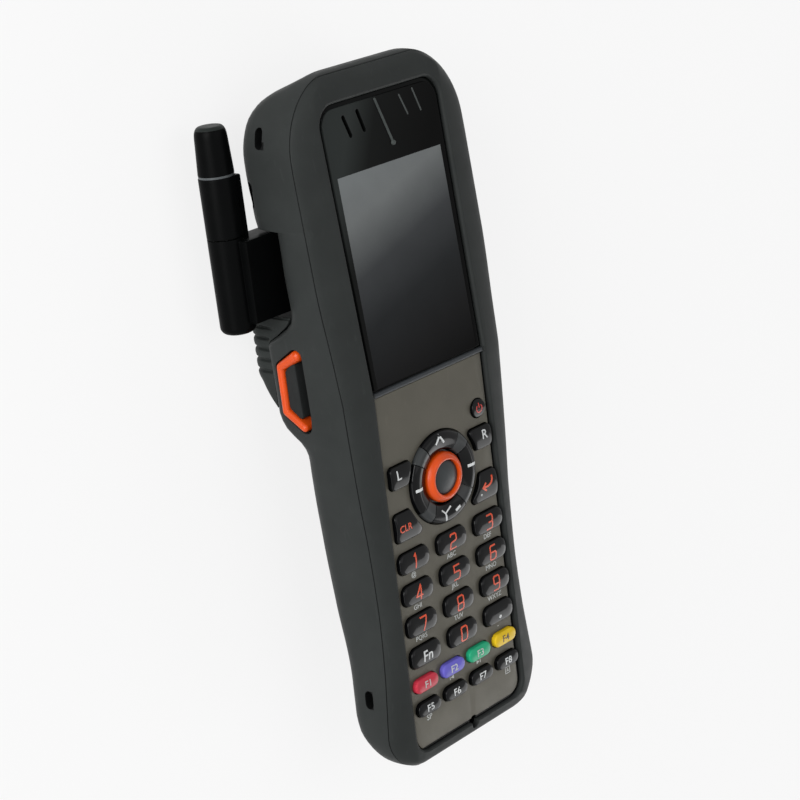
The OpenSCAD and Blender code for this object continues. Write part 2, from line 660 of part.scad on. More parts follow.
module antenna_base() color("#0c0d0e") seat() {
    translate([barrel_at[0], barrel_y[0], barrel_at[1]]) rotate([-90, 0, 0]) {
        rotate_extrude($fn = 96) union() {
            translate([0, 2]) square([barrel_r, barrel_y[1] - barrel_y[0] - 2]);
            square([barrel_r - 2, 3]);
            intersection() {
                translate([barrel_r - 2, 2]) circle(2);
                square([barrel_r, 3]);
            }
        }
    }
    along_y(module_y[0], module_y[1]) {
        translate([barrel_at[0], module_z[0] + 3]) square([31 - barrel_at[0], module_z[1] - module_z[0] - 3]);
        translate([barrel_at[0], module_z[0] + 1.5]) square([26 - barrel_at[0], 2]);
        translate([-35, module_z[0]]) square([62, 3]);
        translate([27, module_z[0] + 4]) circle(4);
        translate([-35, module_z[0] + 4]) circle(4);
    }
    box([barrel_at[0], -34.6], [module_y[0], barrel_y[1] - 0.4], [-30.6, -22.4]);
}

module antenna_band() color("#b9bdbf") seat()
    translate([barrel_at[0], barrel_y[1], barrel_at[1]]) rotate([-90, 0, 0])
        cylinder(r = barrel_r - 0.15, h = 0.6, $fn = 96);

module antenna_tip() color("#0c0d0e") seat()
    translate([barrel_at[0], barrel_y[1] + 0.6, barrel_at[1]]) rotate([-90, 0, 0])
        rotate_extrude($fn = 96) union() {
            polygon([[0, 0], [4.8, 0], [4.3, tip_l - 2.2], [3.9, tip_l - 0.8], [3.1, tip_l], [0, tip_l]]);
        }

// ---- Small internal pieces ----

module vibration_motor() color("#9a9da0") seat() translate([20, -5, -16.6]) rotate([-90, 0, 0]) {
    cylinder(r = 3, h = 9);
    translate([0, 0, 9.2]) intersection() {
        cylinder(r = 3, h = 3);
        translate([-4, -4, 0]) cube([8, 4.6, 3]);
    }
    cylinder(r = 0.6, h = 12);
}

module case_screws() color("#8c8f91") seat() both_sides() for (p = screw_at) {
    head_z = -lookup(p[1], depth) + 4.1;
    translate([p[0], p[1], head_z - 1.5]) difference() {
        cylinder(r = 1.7, h = 1.5);
        translate([0, 0, -1]) cylinder(r = 0.8, h = 1.9, $fn = 6);
    }
    translate([p[0], p[1], head_z - 0.1]) cylinder(r = 0.95, h = crease_z(p[1]) - 0.4 - head_z);
}

module dock_connector() color(black) seat() difference() {
    union() {
        box([-11, 11], [y_bot + 4.6, y_bot + 7.3], [-8.1, -4.4]);
        along_y(y_bot + 0.9, y_bot + 5) translate([0, -6.6]) pill(19.4, 2.8, 0.7);
    }
    for (x = [-6, -3, 0, 3, 6]) box([x - 0.8, x + 0.8], [y_bot, y_bot + 1.7], [-7.3, -5.9]);
}

front_case();
rear_case();
case_gasket();
rear_grip();
battery_cover();
cover_lock();
battery_pack();
battery_contacts();
display_window();
display_module();
seam_trim();
keypad_plate();
key_mat();
key_board();
main_board();
power_key();
left_key();
right_key();
clear_key();
back_key();
for (k = digit_keys) digit_key(k);
for (k = fn_keys) fn_key(k);
cursor_rocker();
cursor_ring();
enter_ring();
enter_button();
left_trigger_rim();
left_trigger_pad();
right_trigger_rim();
right_trigger_pad();
side_switches();
antenna_base();
antenna_band();
antenna_tip();
scan_engine();
scan_window();
speaker();
vibration_motor();
indicator_lenses();
case_screws();
dock_connector();
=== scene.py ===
import json
import math

import bmesh
import bpy
import numpy as np
from mathutils import Matrix, Vector

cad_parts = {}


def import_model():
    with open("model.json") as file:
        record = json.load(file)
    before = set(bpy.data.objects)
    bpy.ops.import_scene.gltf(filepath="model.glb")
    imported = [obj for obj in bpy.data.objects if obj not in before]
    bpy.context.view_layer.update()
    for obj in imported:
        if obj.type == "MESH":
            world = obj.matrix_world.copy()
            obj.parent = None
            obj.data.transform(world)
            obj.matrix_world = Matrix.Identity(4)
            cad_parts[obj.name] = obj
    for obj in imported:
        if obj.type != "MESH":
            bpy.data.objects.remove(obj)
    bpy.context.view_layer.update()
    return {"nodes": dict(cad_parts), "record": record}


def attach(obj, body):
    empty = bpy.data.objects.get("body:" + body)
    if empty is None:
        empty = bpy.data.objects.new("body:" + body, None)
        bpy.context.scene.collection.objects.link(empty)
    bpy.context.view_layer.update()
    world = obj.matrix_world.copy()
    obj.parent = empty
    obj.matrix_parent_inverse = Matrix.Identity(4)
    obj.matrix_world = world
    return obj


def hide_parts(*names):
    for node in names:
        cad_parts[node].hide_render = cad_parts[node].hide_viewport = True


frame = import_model()
nodes = frame["nodes"]

# Pieces are built in the bench frame of the CAD source, in mm: x to the right, y from the middle
# of the length towards the head end, and z = 0 on the face of the keypad plate.
MM = 0.001
REST_Y, HUMP_D = 25.8, 38.0     # the bench frame's place in the row frame, in mm
SEAM_Y, BEND = 12.4, math.radians(4.8)      # where the display half starts, and how far it tilts


def P(x, y, z):
    """Bench frame, in mm, to the row frame, in metres."""
    return Vector((x, y - REST_Y, z + HUMP_D)) * MM


def tilt(x, s, z):
    """Display half, in mm: s counts from the seam along the face, z out of it."""
    return (x, SEAM_Y + s * math.cos(BEND) + z * math.sin(BEND),
            -s * math.sin(BEND) + z * math.cos(BEND))


# ---------------------------------------------------------------- materials

def feed(tree, node, inputs):
    """Gives each named input of the node a value, or the output socket of another node."""
    for name, value in inputs.items():
        if isinstance(value, bpy.types.NodeSocket):
            tree.links.new(value, node.inputs[name])
        else:
            node.inputs[name].default_value = value


def add_node(tree, kind, inputs, **settings):
    node = tree.nodes.new("ShaderNode" + kind)
    for name, value in settings.items():
        setattr(node, name, value)
    feed(tree, node, inputs)
    return node


class Mat:
    """A material, and short names for the nodes that feed its surface."""

    def __init__(self, name):
        self.m = bpy.data.materials.new(name)
        self.m.use_nodes = True
        self.coord = self.add("TexCoord", {}).outputs["Object"]

    def add(self, kind, inputs, **settings):
        return add_node(self.m.node_tree, kind, inputs, **settings)

    def surface(self, inputs):
        feed(self.m.node_tree, self.m.node_tree.nodes["Principled BSDF"], inputs)
        return self.m

    def noise(self, scale, detail=3.0, rough=0.5, vector=None):
        return self.add("TexNoise", {"Vector": vector or self.coord, "Scale": scale,
                                     "Detail": detail, "Roughness": rough}).outputs["Fac"]

    def stretched(self, scale):
        return self.add("Mapping", {"Vector": self.coord, "Scale": scale}).outputs["Vector"]

    def slope(self, direction, start, end):
        """0 at start and 1 at end along a direction, whose length is its scale per metre."""
        dot = self.add("VectorMath", {0: self.coord, 1: direction}, operation="DOT_PRODUCT")
        return self.spread(dot.outputs["Value"], 0, 1, start, end)

    def ramp(self, fac, stops):
        node = self.add("ValToRGB", {"Fac": fac})
        elements = node.color_ramp.elements
        while len(elements) < len(stops):
            elements.new(0.5)
        for element, (place, colour) in zip(elements, stops):
            element.position, element.color = place, (*colour, 1)
        return node.outputs["Color"]

    def spread(self, fac, lo, hi, start=0.3, end=0.7):
        return self.add("MapRange", {"Value": fac, "From Min": start, "From Max": end,
                                     "To Min": lo, "To Max": hi}).outputs["Result"]

    def mix(self, fac, a, b, blend="MIX"):
        return self.add("Mix", {"Factor": fac, "A": a, "B": b}, data_type="RGBA",
                        blend_type=blend).outputs["Result"]

    def bump(self, height, strength, distance, edge):
        """Surface grain on edges that are rounded by the radius edge, in metres."""
        soft = self.add("Bevel", {"Radius": edge}, samples=4).outputs["Normal"]
        return self.add("Bump", {"Strength": strength, "Distance": distance, "Height": height,
                                 "Normal": soft}).outputs["Normal"]


def shade(c, k):
    """The colour c made lighter or darker by the factor k."""
    return tuple(min(1, v * k) for v in c)


GRAIN_DEPTH = 0.00004


def plastic(name, colour, rough, grain=9000, strength=0.25, mottle=0.12, coat=0.0,
            specular=0.4, metal=0.0, edge=0.0002, scuffs=0.5):
    """Moulded plastic or metal: fine grain, a little mottling, faint scuffs, soft edges.

    Noise scales and grain are in waves per metre, and edge is in metres.
    """
    m = Mat(name)
    base = m.ramp(m.noise(90, 4, 0.55), [(0.3, shade(colour, 1 - mottle)),
                                         (0.7, shade(colour, 1 + mottle))])
    if scuffs:
        streak = m.noise(1.0, 2, 0.6, m.stretched((900, 170, 900)))
        lifted = m.ramp(m.noise(300), [(0.3, shade(colour, 1.25)), (0.7, shade(colour, 1.5))])
        base = m.mix(m.spread(streak, 0, scuffs, 0.64, 0.72), base, lifted)
    if coat:
        m.surface({"Coat Weight": coat, "Coat Roughness": 0.05})
    return m.surface({
        "Base Color": base, "Specular IOR Level": specular, "Metallic": metal,
        "Roughness": m.spread(m.noise(260, 3), rough - 0.05, rough + 0.05),
        "Normal": m.bump(m.noise(grain, 2, 0.6), strength, GRAIN_DEPTH, edge)})


def glass_print_painted_reflection():
    """The glass's black printed border, with a painted reflection that lightens it to charcoal
    at its upper left.
    """
    m = Mat("glass_print_painted_reflection")
    # painted reflection: lighter towards the upper left along a fixed direction, black towards
    # the right
    tone = m.ramp(m.slope((-25.0, 12.0, 0.0), 0.11, 1.06),
                  [(0.03, (0.0008, 0.0009, 0.0009)), (0.37, (0.0036, 0.0039, 0.0038)),
                   (0.69, (0.0068, 0.0076, 0.0073)), (0.95, (0.027, 0.031, 0.03))])
    return m.surface({
        "Base Color": tone, "Specular IOR Level": 0.04,
        "Roughness": m.spread(m.noise(260, 3), 0.12, 0.2),
        "Normal": m.bump(m.noise(3000, 2, 0.6), 0.02, 0.00004, 0.0002)})


def lcd_with_painted_reflection():
    """The display, off: a grey that falls away along its diagonal as a painted reflection,
    faintly mottled.
    """
    m = Mat("lcd_painted_reflection")
    # painted reflection: light grey at the upper left, near black at the lower right; the
    # mottling below is the screen's own
    tone = m.ramp(m.slope((-5.0, 15.0, 0.0), -0.27, 0.78),
                  [(0.0, (0.003, 0.003, 0.003)), (0.19, (0.012, 0.012, 0.0125)),
                   (0.4, (0.021, 0.0225, 0.024)), (0.6, (0.05, 0.053, 0.056)),
                   (0.81, (0.165, 0.175, 0.176)), (1.0, (0.19, 0.205, 0.208))])
    fine = m.ramp(m.noise(120, 3), [(0.3, (0.92, 0.92, 0.92)), (0.7, (1, 1, 1))])
    return m.surface({
        "Base Color": m.mix(1.0, tone, fine, "MULTIPLY"), "Specular IOR Level": 0.03,
        "Roughness": m.spread(m.noise(200, 3), 0.10, 0.16),
        "Normal": m.bump(m.noise(2500, 2, 0.5), 0.02, 0.00002, 0.0001)})


GLOSS = dict(grain=4000, strength=0.03, specular=0.15, edge=0.00015, scuffs=0.1)
MATS = {
    "shell": plastic("shell_plastic", (0.027, 0.0296, 0.0289), 0.42, strength=0.16,
                     specular=0.06, edge=0.0003, mottle=0.08, scuffs=0.3),
    "grip": plastic("grip_elastomer", (0.024, 0.027, 0.026), 0.5, grain=5200, strength=0.35,
                    specular=0.06, edge=0.0003),
    "plate": plastic("plate_lacquer", (0.079, 0.074, 0.059), 0.38, grain=14000, strength=0.25,
                     metal=0.25, specular=0.12, scuffs=0.2, mottle=0.06),
    "panel": plastic("panel_black", (0.005, 0.0056, 0.0054), 0.12, grain=3000, strength=0.02,
                     specular=0.04, scuffs=0.1),
    "screen": plastic("screen_module", (0.05, 0.055, 0.055), 0.3),
    "trim": plastic("trim_grey", (0.036, 0.04, 0.044), 0.35, specular=0.12, edge=0.0002),
    "key": plastic("key_black", (0.0018, 0.002, 0.0024), 0.09, **GLOSS),
    "key_red": plastic("key_red", (0.52, 0.035, 0.06), 0.16, **GLOSS),
    "key_violet": plastic("key_violet", (0.13, 0.115, 0.52), 0.16, **GLOSS),
    "key_green": plastic("key_green", (0.018, 0.36, 0.18), 0.16, **GLOSS),
    "key_yellow": plastic("key_yellow", (0.75, 0.5, 0.015), 0.16, **GLOSS),
    "orange": plastic("orange_gloss", (0.6, 0.062, 0.004), 0.3, grain=7000, strength=0.06,
                      specular=0.3, scuffs=0.2),
    "dome": plastic("dome_grey", (0.028, 0.032, 0.034), 0.34, grain=7000, strength=0.06,
                    specular=0.2),
    "pad": plastic("pad_rubber", (0.018, 0.0195, 0.0195), 0.5, grain=6000, strength=0.2,
                   specular=0.06),
    "dark_rubber": plastic("dark_rubber", (0.003, 0.0034, 0.0034), 0.65, grain=5000,
                           strength=0.3, specular=0.1, scuffs=0),
    "board": plastic("board_green", (0.012, 0.09, 0.045), 0.4),
    "antenna": plastic("antenna_black", (0.0018, 0.002, 0.0021), 0.36, grain=8000, strength=0.1,
                       specular=0.03, edge=0.0003, scuffs=0.2),
    "band": plastic("band_grey", (0.075, 0.082, 0.086), 0.3, specular=0.15),
    "steel": plastic("steel", (0.4, 0.4, 0.42), 0.3, strength=0.1, metal=1.0),
    "gold": plastic("gold", (0.72, 0.48, 0.16), 0.28, strength=0.1, metal=1.0),
    "battery": plastic("battery_black", (0.012, 0.013, 0.015), 0.5),
    "lens": plastic("lens_clear", (0.05, 0.056, 0.055), 0.25, strength=0.05, specular=0.15),
    "scan_glass": plastic("scan_glass", (0.05, 0.004, 0.006), 0.08, strength=0.02, coat=1.0),
}
LCD_WITH_PAINTED_REFLECTION = lcd_with_painted_reflection()
GLASS_PAINTED_REFLECTION = glass_print_painted_reflection()
RIB_GREY = plastic("rib_grey", (0.05, 0.057, 0.055), 0.35, grain=7000, specular=0.12)
RING_GREY = plastic("ring_grey", (0.034, 0.037, 0.038), 0.2, **GLOSS)
TIP_END = plastic("tip_end", (0.012, 0.015, 0.014), 0.45, grain=8000, specular=0.12)
INK = {
    "white": plastic("ink_white", (0.62, 0.64, 0.64), 0.4, strength=0.05, edge=0.00003),
    "pale": plastic("ink_pale", (0.48, 0.5, 0.49), 0.5, strength=0.05, edge=0.00003),
    "orange": plastic("ink_orange", (0.62, 0.055, 0.008), 0.35, strength=0.05, edge=0.00003),
    "red": plastic("ink_red", (0.5, 0.02, 0.012), 0.35, strength=0.05, edge=0.00003),
    "dark": plastic("ink_dark", (0.09, 0.055, 0.01), 0.4, strength=0.05, edge=0.00003),
}

for row in frame["record"]["subparts"]:     # the CAD nodes that no piece replaces
    data = nodes[row["node"]].data
    data.materials.clear()
    data.materials.append(MATS[row["material_slot"]])

# ---------------------------------------------------------------- mesh tools
# All of these work in the bench frame, in mm; finish_piece() turns the result into a piece.

SHARP = math.radians(32)            # edges that turn by more stay sharp


def in_scene(name, data):
    o = bpy.data.objects.new(name, data)
    bpy.context.scene.collection.objects.link(o)
    return o


def shown_mesh(o):
    """A new mesh of the object as it shows, with its modifiers or its curves turned to faces."""
    bpy.context.view_layer.update()
    graph = bpy.context.evaluated_depsgraph_get()
    return bpy.data.meshes.new_from_object(o.evaluated_get(graph))


def obj(verts, faces):
    """A work object with its normals outwards."""
    me = bpy.data.meshes.new("work")
    me.from_pydata([tuple(v) for v in verts], [], faces)
    bm = bmesh.new()
    bm.from_mesh(me)
    bmesh.ops.recalc_face_normals(bm, faces=bm.faces)
    bm.to_mesh(me)
    bm.free()
    return in_scene("work", me)


def drop(o):
    me = o.data
    bpy.data.objects.remove(o)
    bpy.data.meshes.remove(me)


def boolean(a, b, op="DIFFERENCE", solver="MANIFOLD"):
    """a changed by b, which is used up."""
    m = a.modifiers.new("b", "BOOLEAN")
    m.solver, m.operation, m.object = solver, op, b
    made = shown_mesh(a)
    a.modifiers.clear()
    old, a.data = a.data, made
    bpy.data.meshes.remove(old)
    drop(b)
    if not len(made.polygons):
        raise RuntimeError("an empty boolean")
    return a


def cut(o, *tools):
    """o with each of the tools taken away."""
    for t in tools:
        o = boolean(o, t)
    return o


def sliced(o, xs, ys):
    """Cuts the faces along lines, so that no face is left with a hole inside it."""
    bm = bmesh.new()
    bm.from_mesh(o.data)
    for place in [((x, 0, 0), (1, 0, 0)) for x in xs] + [((0, y, 0), (0, 1, 0)) for y in ys]:
        bmesh.ops.bisect_plane(bm, geom=bm.verts[:] + bm.edges[:] + bm.faces[:],
                               plane_co=place[0], plane_no=place[1])
    bm.to_mesh(o.data)
    bm.free()
    return o


def circle(c, r, n=24):
    turns = [2 * math.pi * i / n for i in range(n)]
    return [(c[0] + r * math.cos(a), c[1] + r * math.sin(a)) for a in turns]


def quarter(steps):
    """Angles from 0 to a right angle."""
    return [math.pi / 2 * i / steps for i in range(steps + 1)]


def hull2(points):
    """Convex outline of the points, anticlockwise."""
    pts = sorted(set((round(x, 6), round(y, 6)) for x, y in points))

    def half(seq):
        out = []
        for p in seq:
            while len(out) > 1 and ((out[-1][0] - out[-2][0]) * (p[1] - out[-2][1])
                                    - (out[-1][1] - out[-2][1]) * (p[0] - out[-2][0])) <= 0:
                out.pop()
            out.append(p)
        return out[:-1]
    return half(pts) + half(pts[::-1])


def rounded(points, r, n=24):
    """Convex outline round the points, at the distance r."""
    return hull2([q for p in points for q in circle(p, r, n)])


def pill(w, h, r, c=(0, 0), n=32):
    """A rectangle w by h round c with corners of radius r."""
    return rounded([(c[0] + sx * (w / 2 - r), c[1] + sy * (h / 2 - r))
                    for sx in (-1, 1) for sy in (-1, 1)], r, n)


def contour(shape, c, level, n, reach=12.0, halvings=24):
    """n points round c at which the signed distance shape comes up to level."""
    out = []
    for dx, dy in circle((0, 0), 1, n):
        lo, hi = 0.0, reach
        for _ in range(halvings):
            mid = (lo + hi) / 2
            inside = shape(c[0] + mid * dx, c[1] + mid * dy) < level
            lo, hi = (mid, hi) if inside else (lo, mid)
        out.append((c[0] + lo * dx, c[1] + lo * dy))
    return out


# A place maps an outline's u and v, and a height h, to x, y and z: here h runs along z, x and y.
def flat(u, v, h):
    return (u, v, h)


def across(u, v, h):
    return (h, u, v)


def along(u, v, h):
    return (u, h, v)


def skin(rings, tip=None):
    """A closed solid through rings of points; its far end is flat, or a fan to the point tip."""
    n = len(rings[0])
    verts = [p for ring in rings for p in ring]
    faces = []
    for j in range(len(rings) - 1):
        for i in range(n):
            k = (i + 1) % n
            faces.append((j * n + i, j * n + k, (j + 1) * n + k, (j + 1) * n + i))
    last = (len(rings) - 1) * n
    faces.append(tuple(range(n))[::-1])
    if tip:
        faces += [(last + i, last + (i + 1) % n, len(verts)) for i in range(n)]
        verts.append(tip)
    else:
        faces.append(tuple(range(last, last + n)))
    return obj(verts, faces)


def tool(outline, levels, place=flat):
    """A closed solid: levels are (height, outline moved out by that much)."""
    c = np.array(outline)
    e = np.roll(c, -1, 0) - np.roll(c, 1, 0)
    out = np.stack([e[:, 1], -e[:, 0]], 1) / np.maximum(np.linalg.norm(e, axis=1), 1e-9)[:, None]
    return skin([[place(*p, h) for p in c + out * grow] for h, grow in levels])


def prism(outline, h0, h1, place=flat):
    return tool(outline, [(h0, 0), (h1, 0)], place)


def block(x, y, z, place=flat):
    return prism([(x[0], y[0]), (x[1], y[0]), (x[1], y[1]), (x[0], y[1])], *z, place)


def soft_prism(outline, h0, h1, r, place=flat):
    """A prism whose two ends are rounded by r."""
    ends = [(r * (1 - math.sin(a)), -r * (1 - math.cos(a))) for a in quarter(5)]
    return tool(outline, [(h0 + d, m) for d, m in ends[::-1]] + [(h1 - d, m) for d, m in ends],
                place)


def lathe(profile, place, n=96, close=True):
    """profile is (radius, height) pairs, from axis to axis if close; place maps (u, v, h)."""
    verts, rings, faces = [], [], []
    for r, h in profile:
        ring = [(0, 0)] if r < 1e-6 else circle((0, 0), r, n)
        rings.append(list(range(len(verts), len(verts) + len(ring))))
        verts += [place(u, v, h) for u, v in ring]
    for a, b in list(zip(rings, rings[1:])) + ([] if close else [(rings[-1], rings[0])]):
        for i in range(n):
            k = (i + 1) % n
            if len(a) == 1 and len(b) > 1:
                faces.append((a[0], b[k], b[i]))
            elif len(b) == 1 and len(a) > 1:
                faces.append((a[i], a[k], b[0]))
            elif len(a) > 1:
                faces.append((a[i], a[k], b[k], b[i]))
    return obj(verts, faces)


def finish_piece(o, name, body, slot, replaces=()):
    """Names the work object, moves it into the row frame and hangs it on its body."""
    o.name = o.data.name = name
    for v in o.data.vertices:
        v.co = P(*v.co)
    if not any(o.data.materials):
        paint(o, MATS[slot])
    o.data.shade_smooth()
    o.data.set_sharp_from_angle(angle=SHARP)
    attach(o, body)
    if replaces:
        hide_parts(*replaces)


def join(objs):
    """Joins work objects into the first, keeping their materials."""
    first = objs[0]
    mats = []
    for o in objs:
        for m in o.data.materials:
            if m not in mats:
                mats.append(m)
    bm = bmesh.new()
    for o in objs:
        start = len(bm.faces)
        own = list(o.data.materials)
        bm.from_mesh(o.data)
        bm.faces.ensure_lookup_table()
        for f in bm.faces[start:]:
            f.material_index = mats.index(own[f.material_index]) if own else 0
    me = bpy.data.meshes.new("joined")
    bm.to_mesh(me)
    bm.free()
    for m in mats:
        me.materials.append(m)
    for o in objs[1:]:
        drop(o)
    first.data = me
    return first


def paint(o, mat):
    return two_tone(o, [mat], lambda x, y, z: 0)


def two_tone(o, mats, pick):
    """Gives each face the material whose number pick(x, y, z) returns for the face's middle."""
    o.data.materials.clear()
    for m in mats:
        o.data.materials.append(m)
    for f in o.data.polygons:
        f.material_index = int(pick(*f.center))
    return o


# ---------------------------------------------------------------- the case, as in the CAD source

Y_TOP, Y_BOT = 98.25, -98.25
WALL, RIM_H, CREASE_H, RIM_X = 2.0, 0.8, 2.9, 23.8
SLIT = 0.3                          # gap between the halves along the crease
FAR, OUT, DEEP = 120, 40, -40       # beyond the case's ends, its sides and its back
SCAN_AT, SCAN_TURN = (94.2, -20.6), math.radians(-122.5)    # the scan window's seat
# Corners of a trigger, (y, z), from the head end round its lower side.
TRIGGER_AT = [(25.2, -16.3), (21.4, -22.1), (9.4, -22.1), (5.8, -16.2)]


def smooth(table):
    """Monotone cubic through a table of [place, value], and level beyond its ends."""
    x, y = np.array(table, float).T
    h, d = np.diff(x), np.diff(y) / np.diff(x)
    m = np.zeros(len(x))
    for i in range(1, len(x) - 1):
        if d[i - 1] * d[i] > 0:
            w1, w2 = 2 * h[i] + h[i - 1], h[i] + 2 * h[i - 1]
            m[i] = (w1 + w2) / (w1 / d[i - 1] + w2 / d[i])
    m[0], m[-1] = d[0], d[-1]

    def f(v):
        v = min(max(v, x[0]), x[-1])
        i = min(int(np.searchsorted(x, v, side="right")) - 1, len(h) - 1)
        t = (v - x[i]) / h[i]
        return float((1 + 2 * t) * (1 - t) ** 2 * y[i] + t * (1 - t) ** 2 * h[i] * m[i]
                     + t * t * (3 - 2 * t) * y[i + 1] + t * t * (t - 1) * h[i] * m[i + 1])
    return f


# Curves along the length: half width, bulge of the sides, depth of the back, radius of its edge
# and depth of the room inside, and how far the front sinks and the back rises near each end.
half_w = smooth([[-98, 31.8], [-88, 31.7], [-77, 30.7], [-66, 29.6], [-49, 28.9], [-31, 29.4],
                 [-16, 30.5], [2, 31.5], [23, 32.4], [46, 33.5], [71, 33.5], [98, 32.4]])
swell = smooth([[-98, 0.6], [-16, 0.8], [-3, 0.9], [3, 2], [10, 1.4], [26, 1.2], [40, 0.8],
                [60, 0.5], [98, 0.5]])
depth = smooth([[-98, 15.2], [-84, 17.5], [-78, 18.1], [-64, 19.8], [-49, 22.3], [-31, 23.2],
                [-10, 22.4], [-4, 22], [0, 22.8], [4, 26.2], [8.5, 28], [27, 28], [30, 24],
                [34, 19.3], [38, 18.4], [48, 19], [59.3, 19.3], [59.9, 26.6], [68, 27.6],
                [74, 28.2], [80, 28.4], [86, 28], [92, 26.3], [98, 23.2]])
edge_r = smooth([[-98, 7.8], [-64, 7.6], [-6, 7], [0, 5.8], [8.5, 4], [27, 4], [34, 6.5],
                 [59.3, 7], [59.9, 6], [78, 6], [98, 5]])
room = smooth([[-98, 13.2], [-84, 15.5], [-64, 17.8], [-49, 20.3], [-31, 21.2], [-6, 20],
               [2, 22], [8.5, 25.4], [24, 25.4], [28, 19.6], [33, 16.6], [61.6, 17],
               [62.2, 24.4], [68, 25.4], [80, 26.2], [86, 25.8], [92, 24], [98, 21]])
top_fall = smooth([[0, 4.9], [0.3, 3.7], [1, 2.7], [2.2, 1.7], [4, 0.6], [8, 0], [300, 0]])
bot_fall = smooth([[0, 4.7], [0.3, 3.5], [1.2, 1.8], [3, 0.6], [5, 0.1], [7, 0], [300, 0]])
top_rise = smooth([[0, 10], [0.3, 9.6], [1, 8.8], [2.2, 6.9], [4, 3.4], [7, 0.7], [10, 0],
                   [300, 0]])
bot_rise = smooth([[0, 6.6], [0.3, 6.3], [1, 6], [2.2, 5.8], [4, 5.5], [6.5, 4.8], [10, 3],
                   [14, 0.8], [18, 0], [300, 0]])
TOP_PLAN, BOT_PLAN = (18.5, 20.5), (15, 13.5)   # the plan's corners, across and along


def front_z(y):
    return -(y - SEAM_Y) * math.tan(BEND) if y > SEAM_Y else 0


def crease_z(y):
    return front_z(y) + RIM_H - CREASE_H


def nick(d, plan, t):
    """How far the plan's corner takes the side in, at the distance d from the end."""
    a, b = plan[0] - t, plan[1] - t
    return 0 if d >= b else a * (1 - math.sqrt(max(0, 1 - (1 - d / b) ** 2)))


def section(y, t):
    """Right half of the outline at y, from the crest round to the back, moved in by t."""
    dt, db = Y_TOP - y, y - Y_BOT
    w = half_w(y) - t - nick(dt - t, TOP_PLAN, t) - nick(db - t, BOT_PLAN, t)
    b = swell(y)
    crest = front_z(y) + RIM_H - t
    zt = crest - top_fall(dt) - bot_fall(db)
    zc = min(crest - CREASE_H, zt - 0.2)
    deep = (room(y) if t > 1 else depth(y) - t) - top_rise(dt) - bot_rise(db)
    r = max(0.5, min(edge_r(y) - t / 2, 0.45 * (deep + zc)))
    h, xr = deep - r + zc, min(RIM_X - t, w - 3)
    pts = [(xr * k, zt) for k in (0, 0.5, 0.85, 1)]
    ctrl = np.array([(xr, zt), (xr + 0.35 * (w - xr), zt - 0.12 * (zt - zc)),
                     (w - 1.0, zc + 0.5 * (zt - zc)), (w, zc)])
    for k in range(1, 9):
        q = k / 8
        pts.append(tuple((1 - q) ** 3 * ctrl[0] + 3 * q * (1 - q) ** 2 * ctrl[1]
                         + 3 * q * q * (1 - q) * ctrl[2] + q ** 3 * ctrl[3]))
    for k in range(1, 8):
        u = 0.75 * k / 7
        pts.append((w + b * (1 - (1 - u / 0.75) ** 2), zc - u * h))
    for k in range(9):
        a = math.pi / 2 * k / 8
        pts.append((w + b - r + r * math.cos(a), -(deep - r) - r * math.sin(a)))
    return pts + [((w + b - r) / 2, -deep), (0, -deep)]


END_STEPS = [0, 0.1, 0.3, 0.6, 1, 1.6, 2.3, 3, 4, 5, 6, 7, 8.5, 10, 11.5, 13, 15, 17, 19, 21]


def loft(t):
    """The case as a closed solid, moved in by t."""
    hump_edges = [27, 28, 29, 31, 59.3, 59.5, 59.7, 59.9]
    ys = sorted(set([Y_BOT + t + e for e in END_STEPS] + [Y_TOP - t - e for e in END_STEPS]
                    + list(np.arange(-76, 76, 2.0)) + hump_edges))
    rings = []
    for y in ys:
        half = section(y, t)
        rings.append([(x, y, z) for x, z in half] + [(-x, y, z) for x, z in half[-2:0:-1]])
    return skin(rings)


def behind_crease(off, far):
    """Everything between the crease, moved up by off, and the height far."""
    edge = [(y, crease_z(y) + off) for y in (-FAR, SEAM_Y, FAR)] + [(FAR, far), (-FAR, far)]
    return prism(edge if far > 0 else edge[::-1], -OUT, OUT, across)


# Outlines of the plate and the glass: half width, far end and radius of its corners, and half
# width and place of the edge at the seam.
PLATE = (23, -93.2, 5, 22.3, SEAM_Y - 0.5)
WINDOW = (23.4, 78, 6, 22.6, 1)


def field_plan(field, m):
    """Outline of the plate or the glass, moved out by m."""
    half, end, r, seam_half, seam = field
    way = 1 if end > seam else -1
    return hull2([q for s in (-1, 1) for q in circle((s * (half + m - r), end + way * (m - r)),
                                                     r, 40)]
                 + [(s * (seam_half + m), seam - way * m) for s in (-1, 1)])


SCREWS = [(24, 85), (24.9, -85)]
# Strap slots in the sides: (y, z) of the middle of each end, and the radius of the ends.
STRAPS = [([(85.4, -19.5), (82.6, -19.2)], 1.35), ([(71.2, -24.6), (66.4, -24.8)], 1.3),
          ([(-73.6, -8.4), (-75.8, -8.3)], 1.5)]
SLOTS = [[(-14.2, 73.9), (-12.6, 68.8)], [(-8.7, 74.4), (-7.3, 69.2)],
         [(7.9, 75.3), (10, 69.8)], [(13.3, 75.9), (15.3, 69.7)]]
NOTCH = (1.1, -92)                  # round notch in the rim at the plate's foot
COVER_Y, COVER_W, COVER_T, TRAY_Z = (-83.4, -8.6), 44, 1.8, -8.2
COVER_MID, COVER_L = sum(COVER_Y) / 2, COVER_Y[1] - COVER_Y[0]
LOCK_Y = -17
SEAT_GAP = 0.15                     # between the case and the plate or the glass
# How the rim opens over a seat: height, and distance from the seat's outline.
FLARE = [(-6, 0), (0.05, 0), (0.25, 0.06), (0.45, 0.2), (0.62, 0.42), (0.75, 0.7), (3, 0.85)]


def facet(u, v, h):
    """The slanted seat of the scan window: h is outwards, u across."""
    c, s = math.cos(SCAN_TURN), math.sin(SCAN_TURN)
    return (u, SCAN_AT[0] + v * c - h * s, SCAN_AT[1] + v * s + h * c)


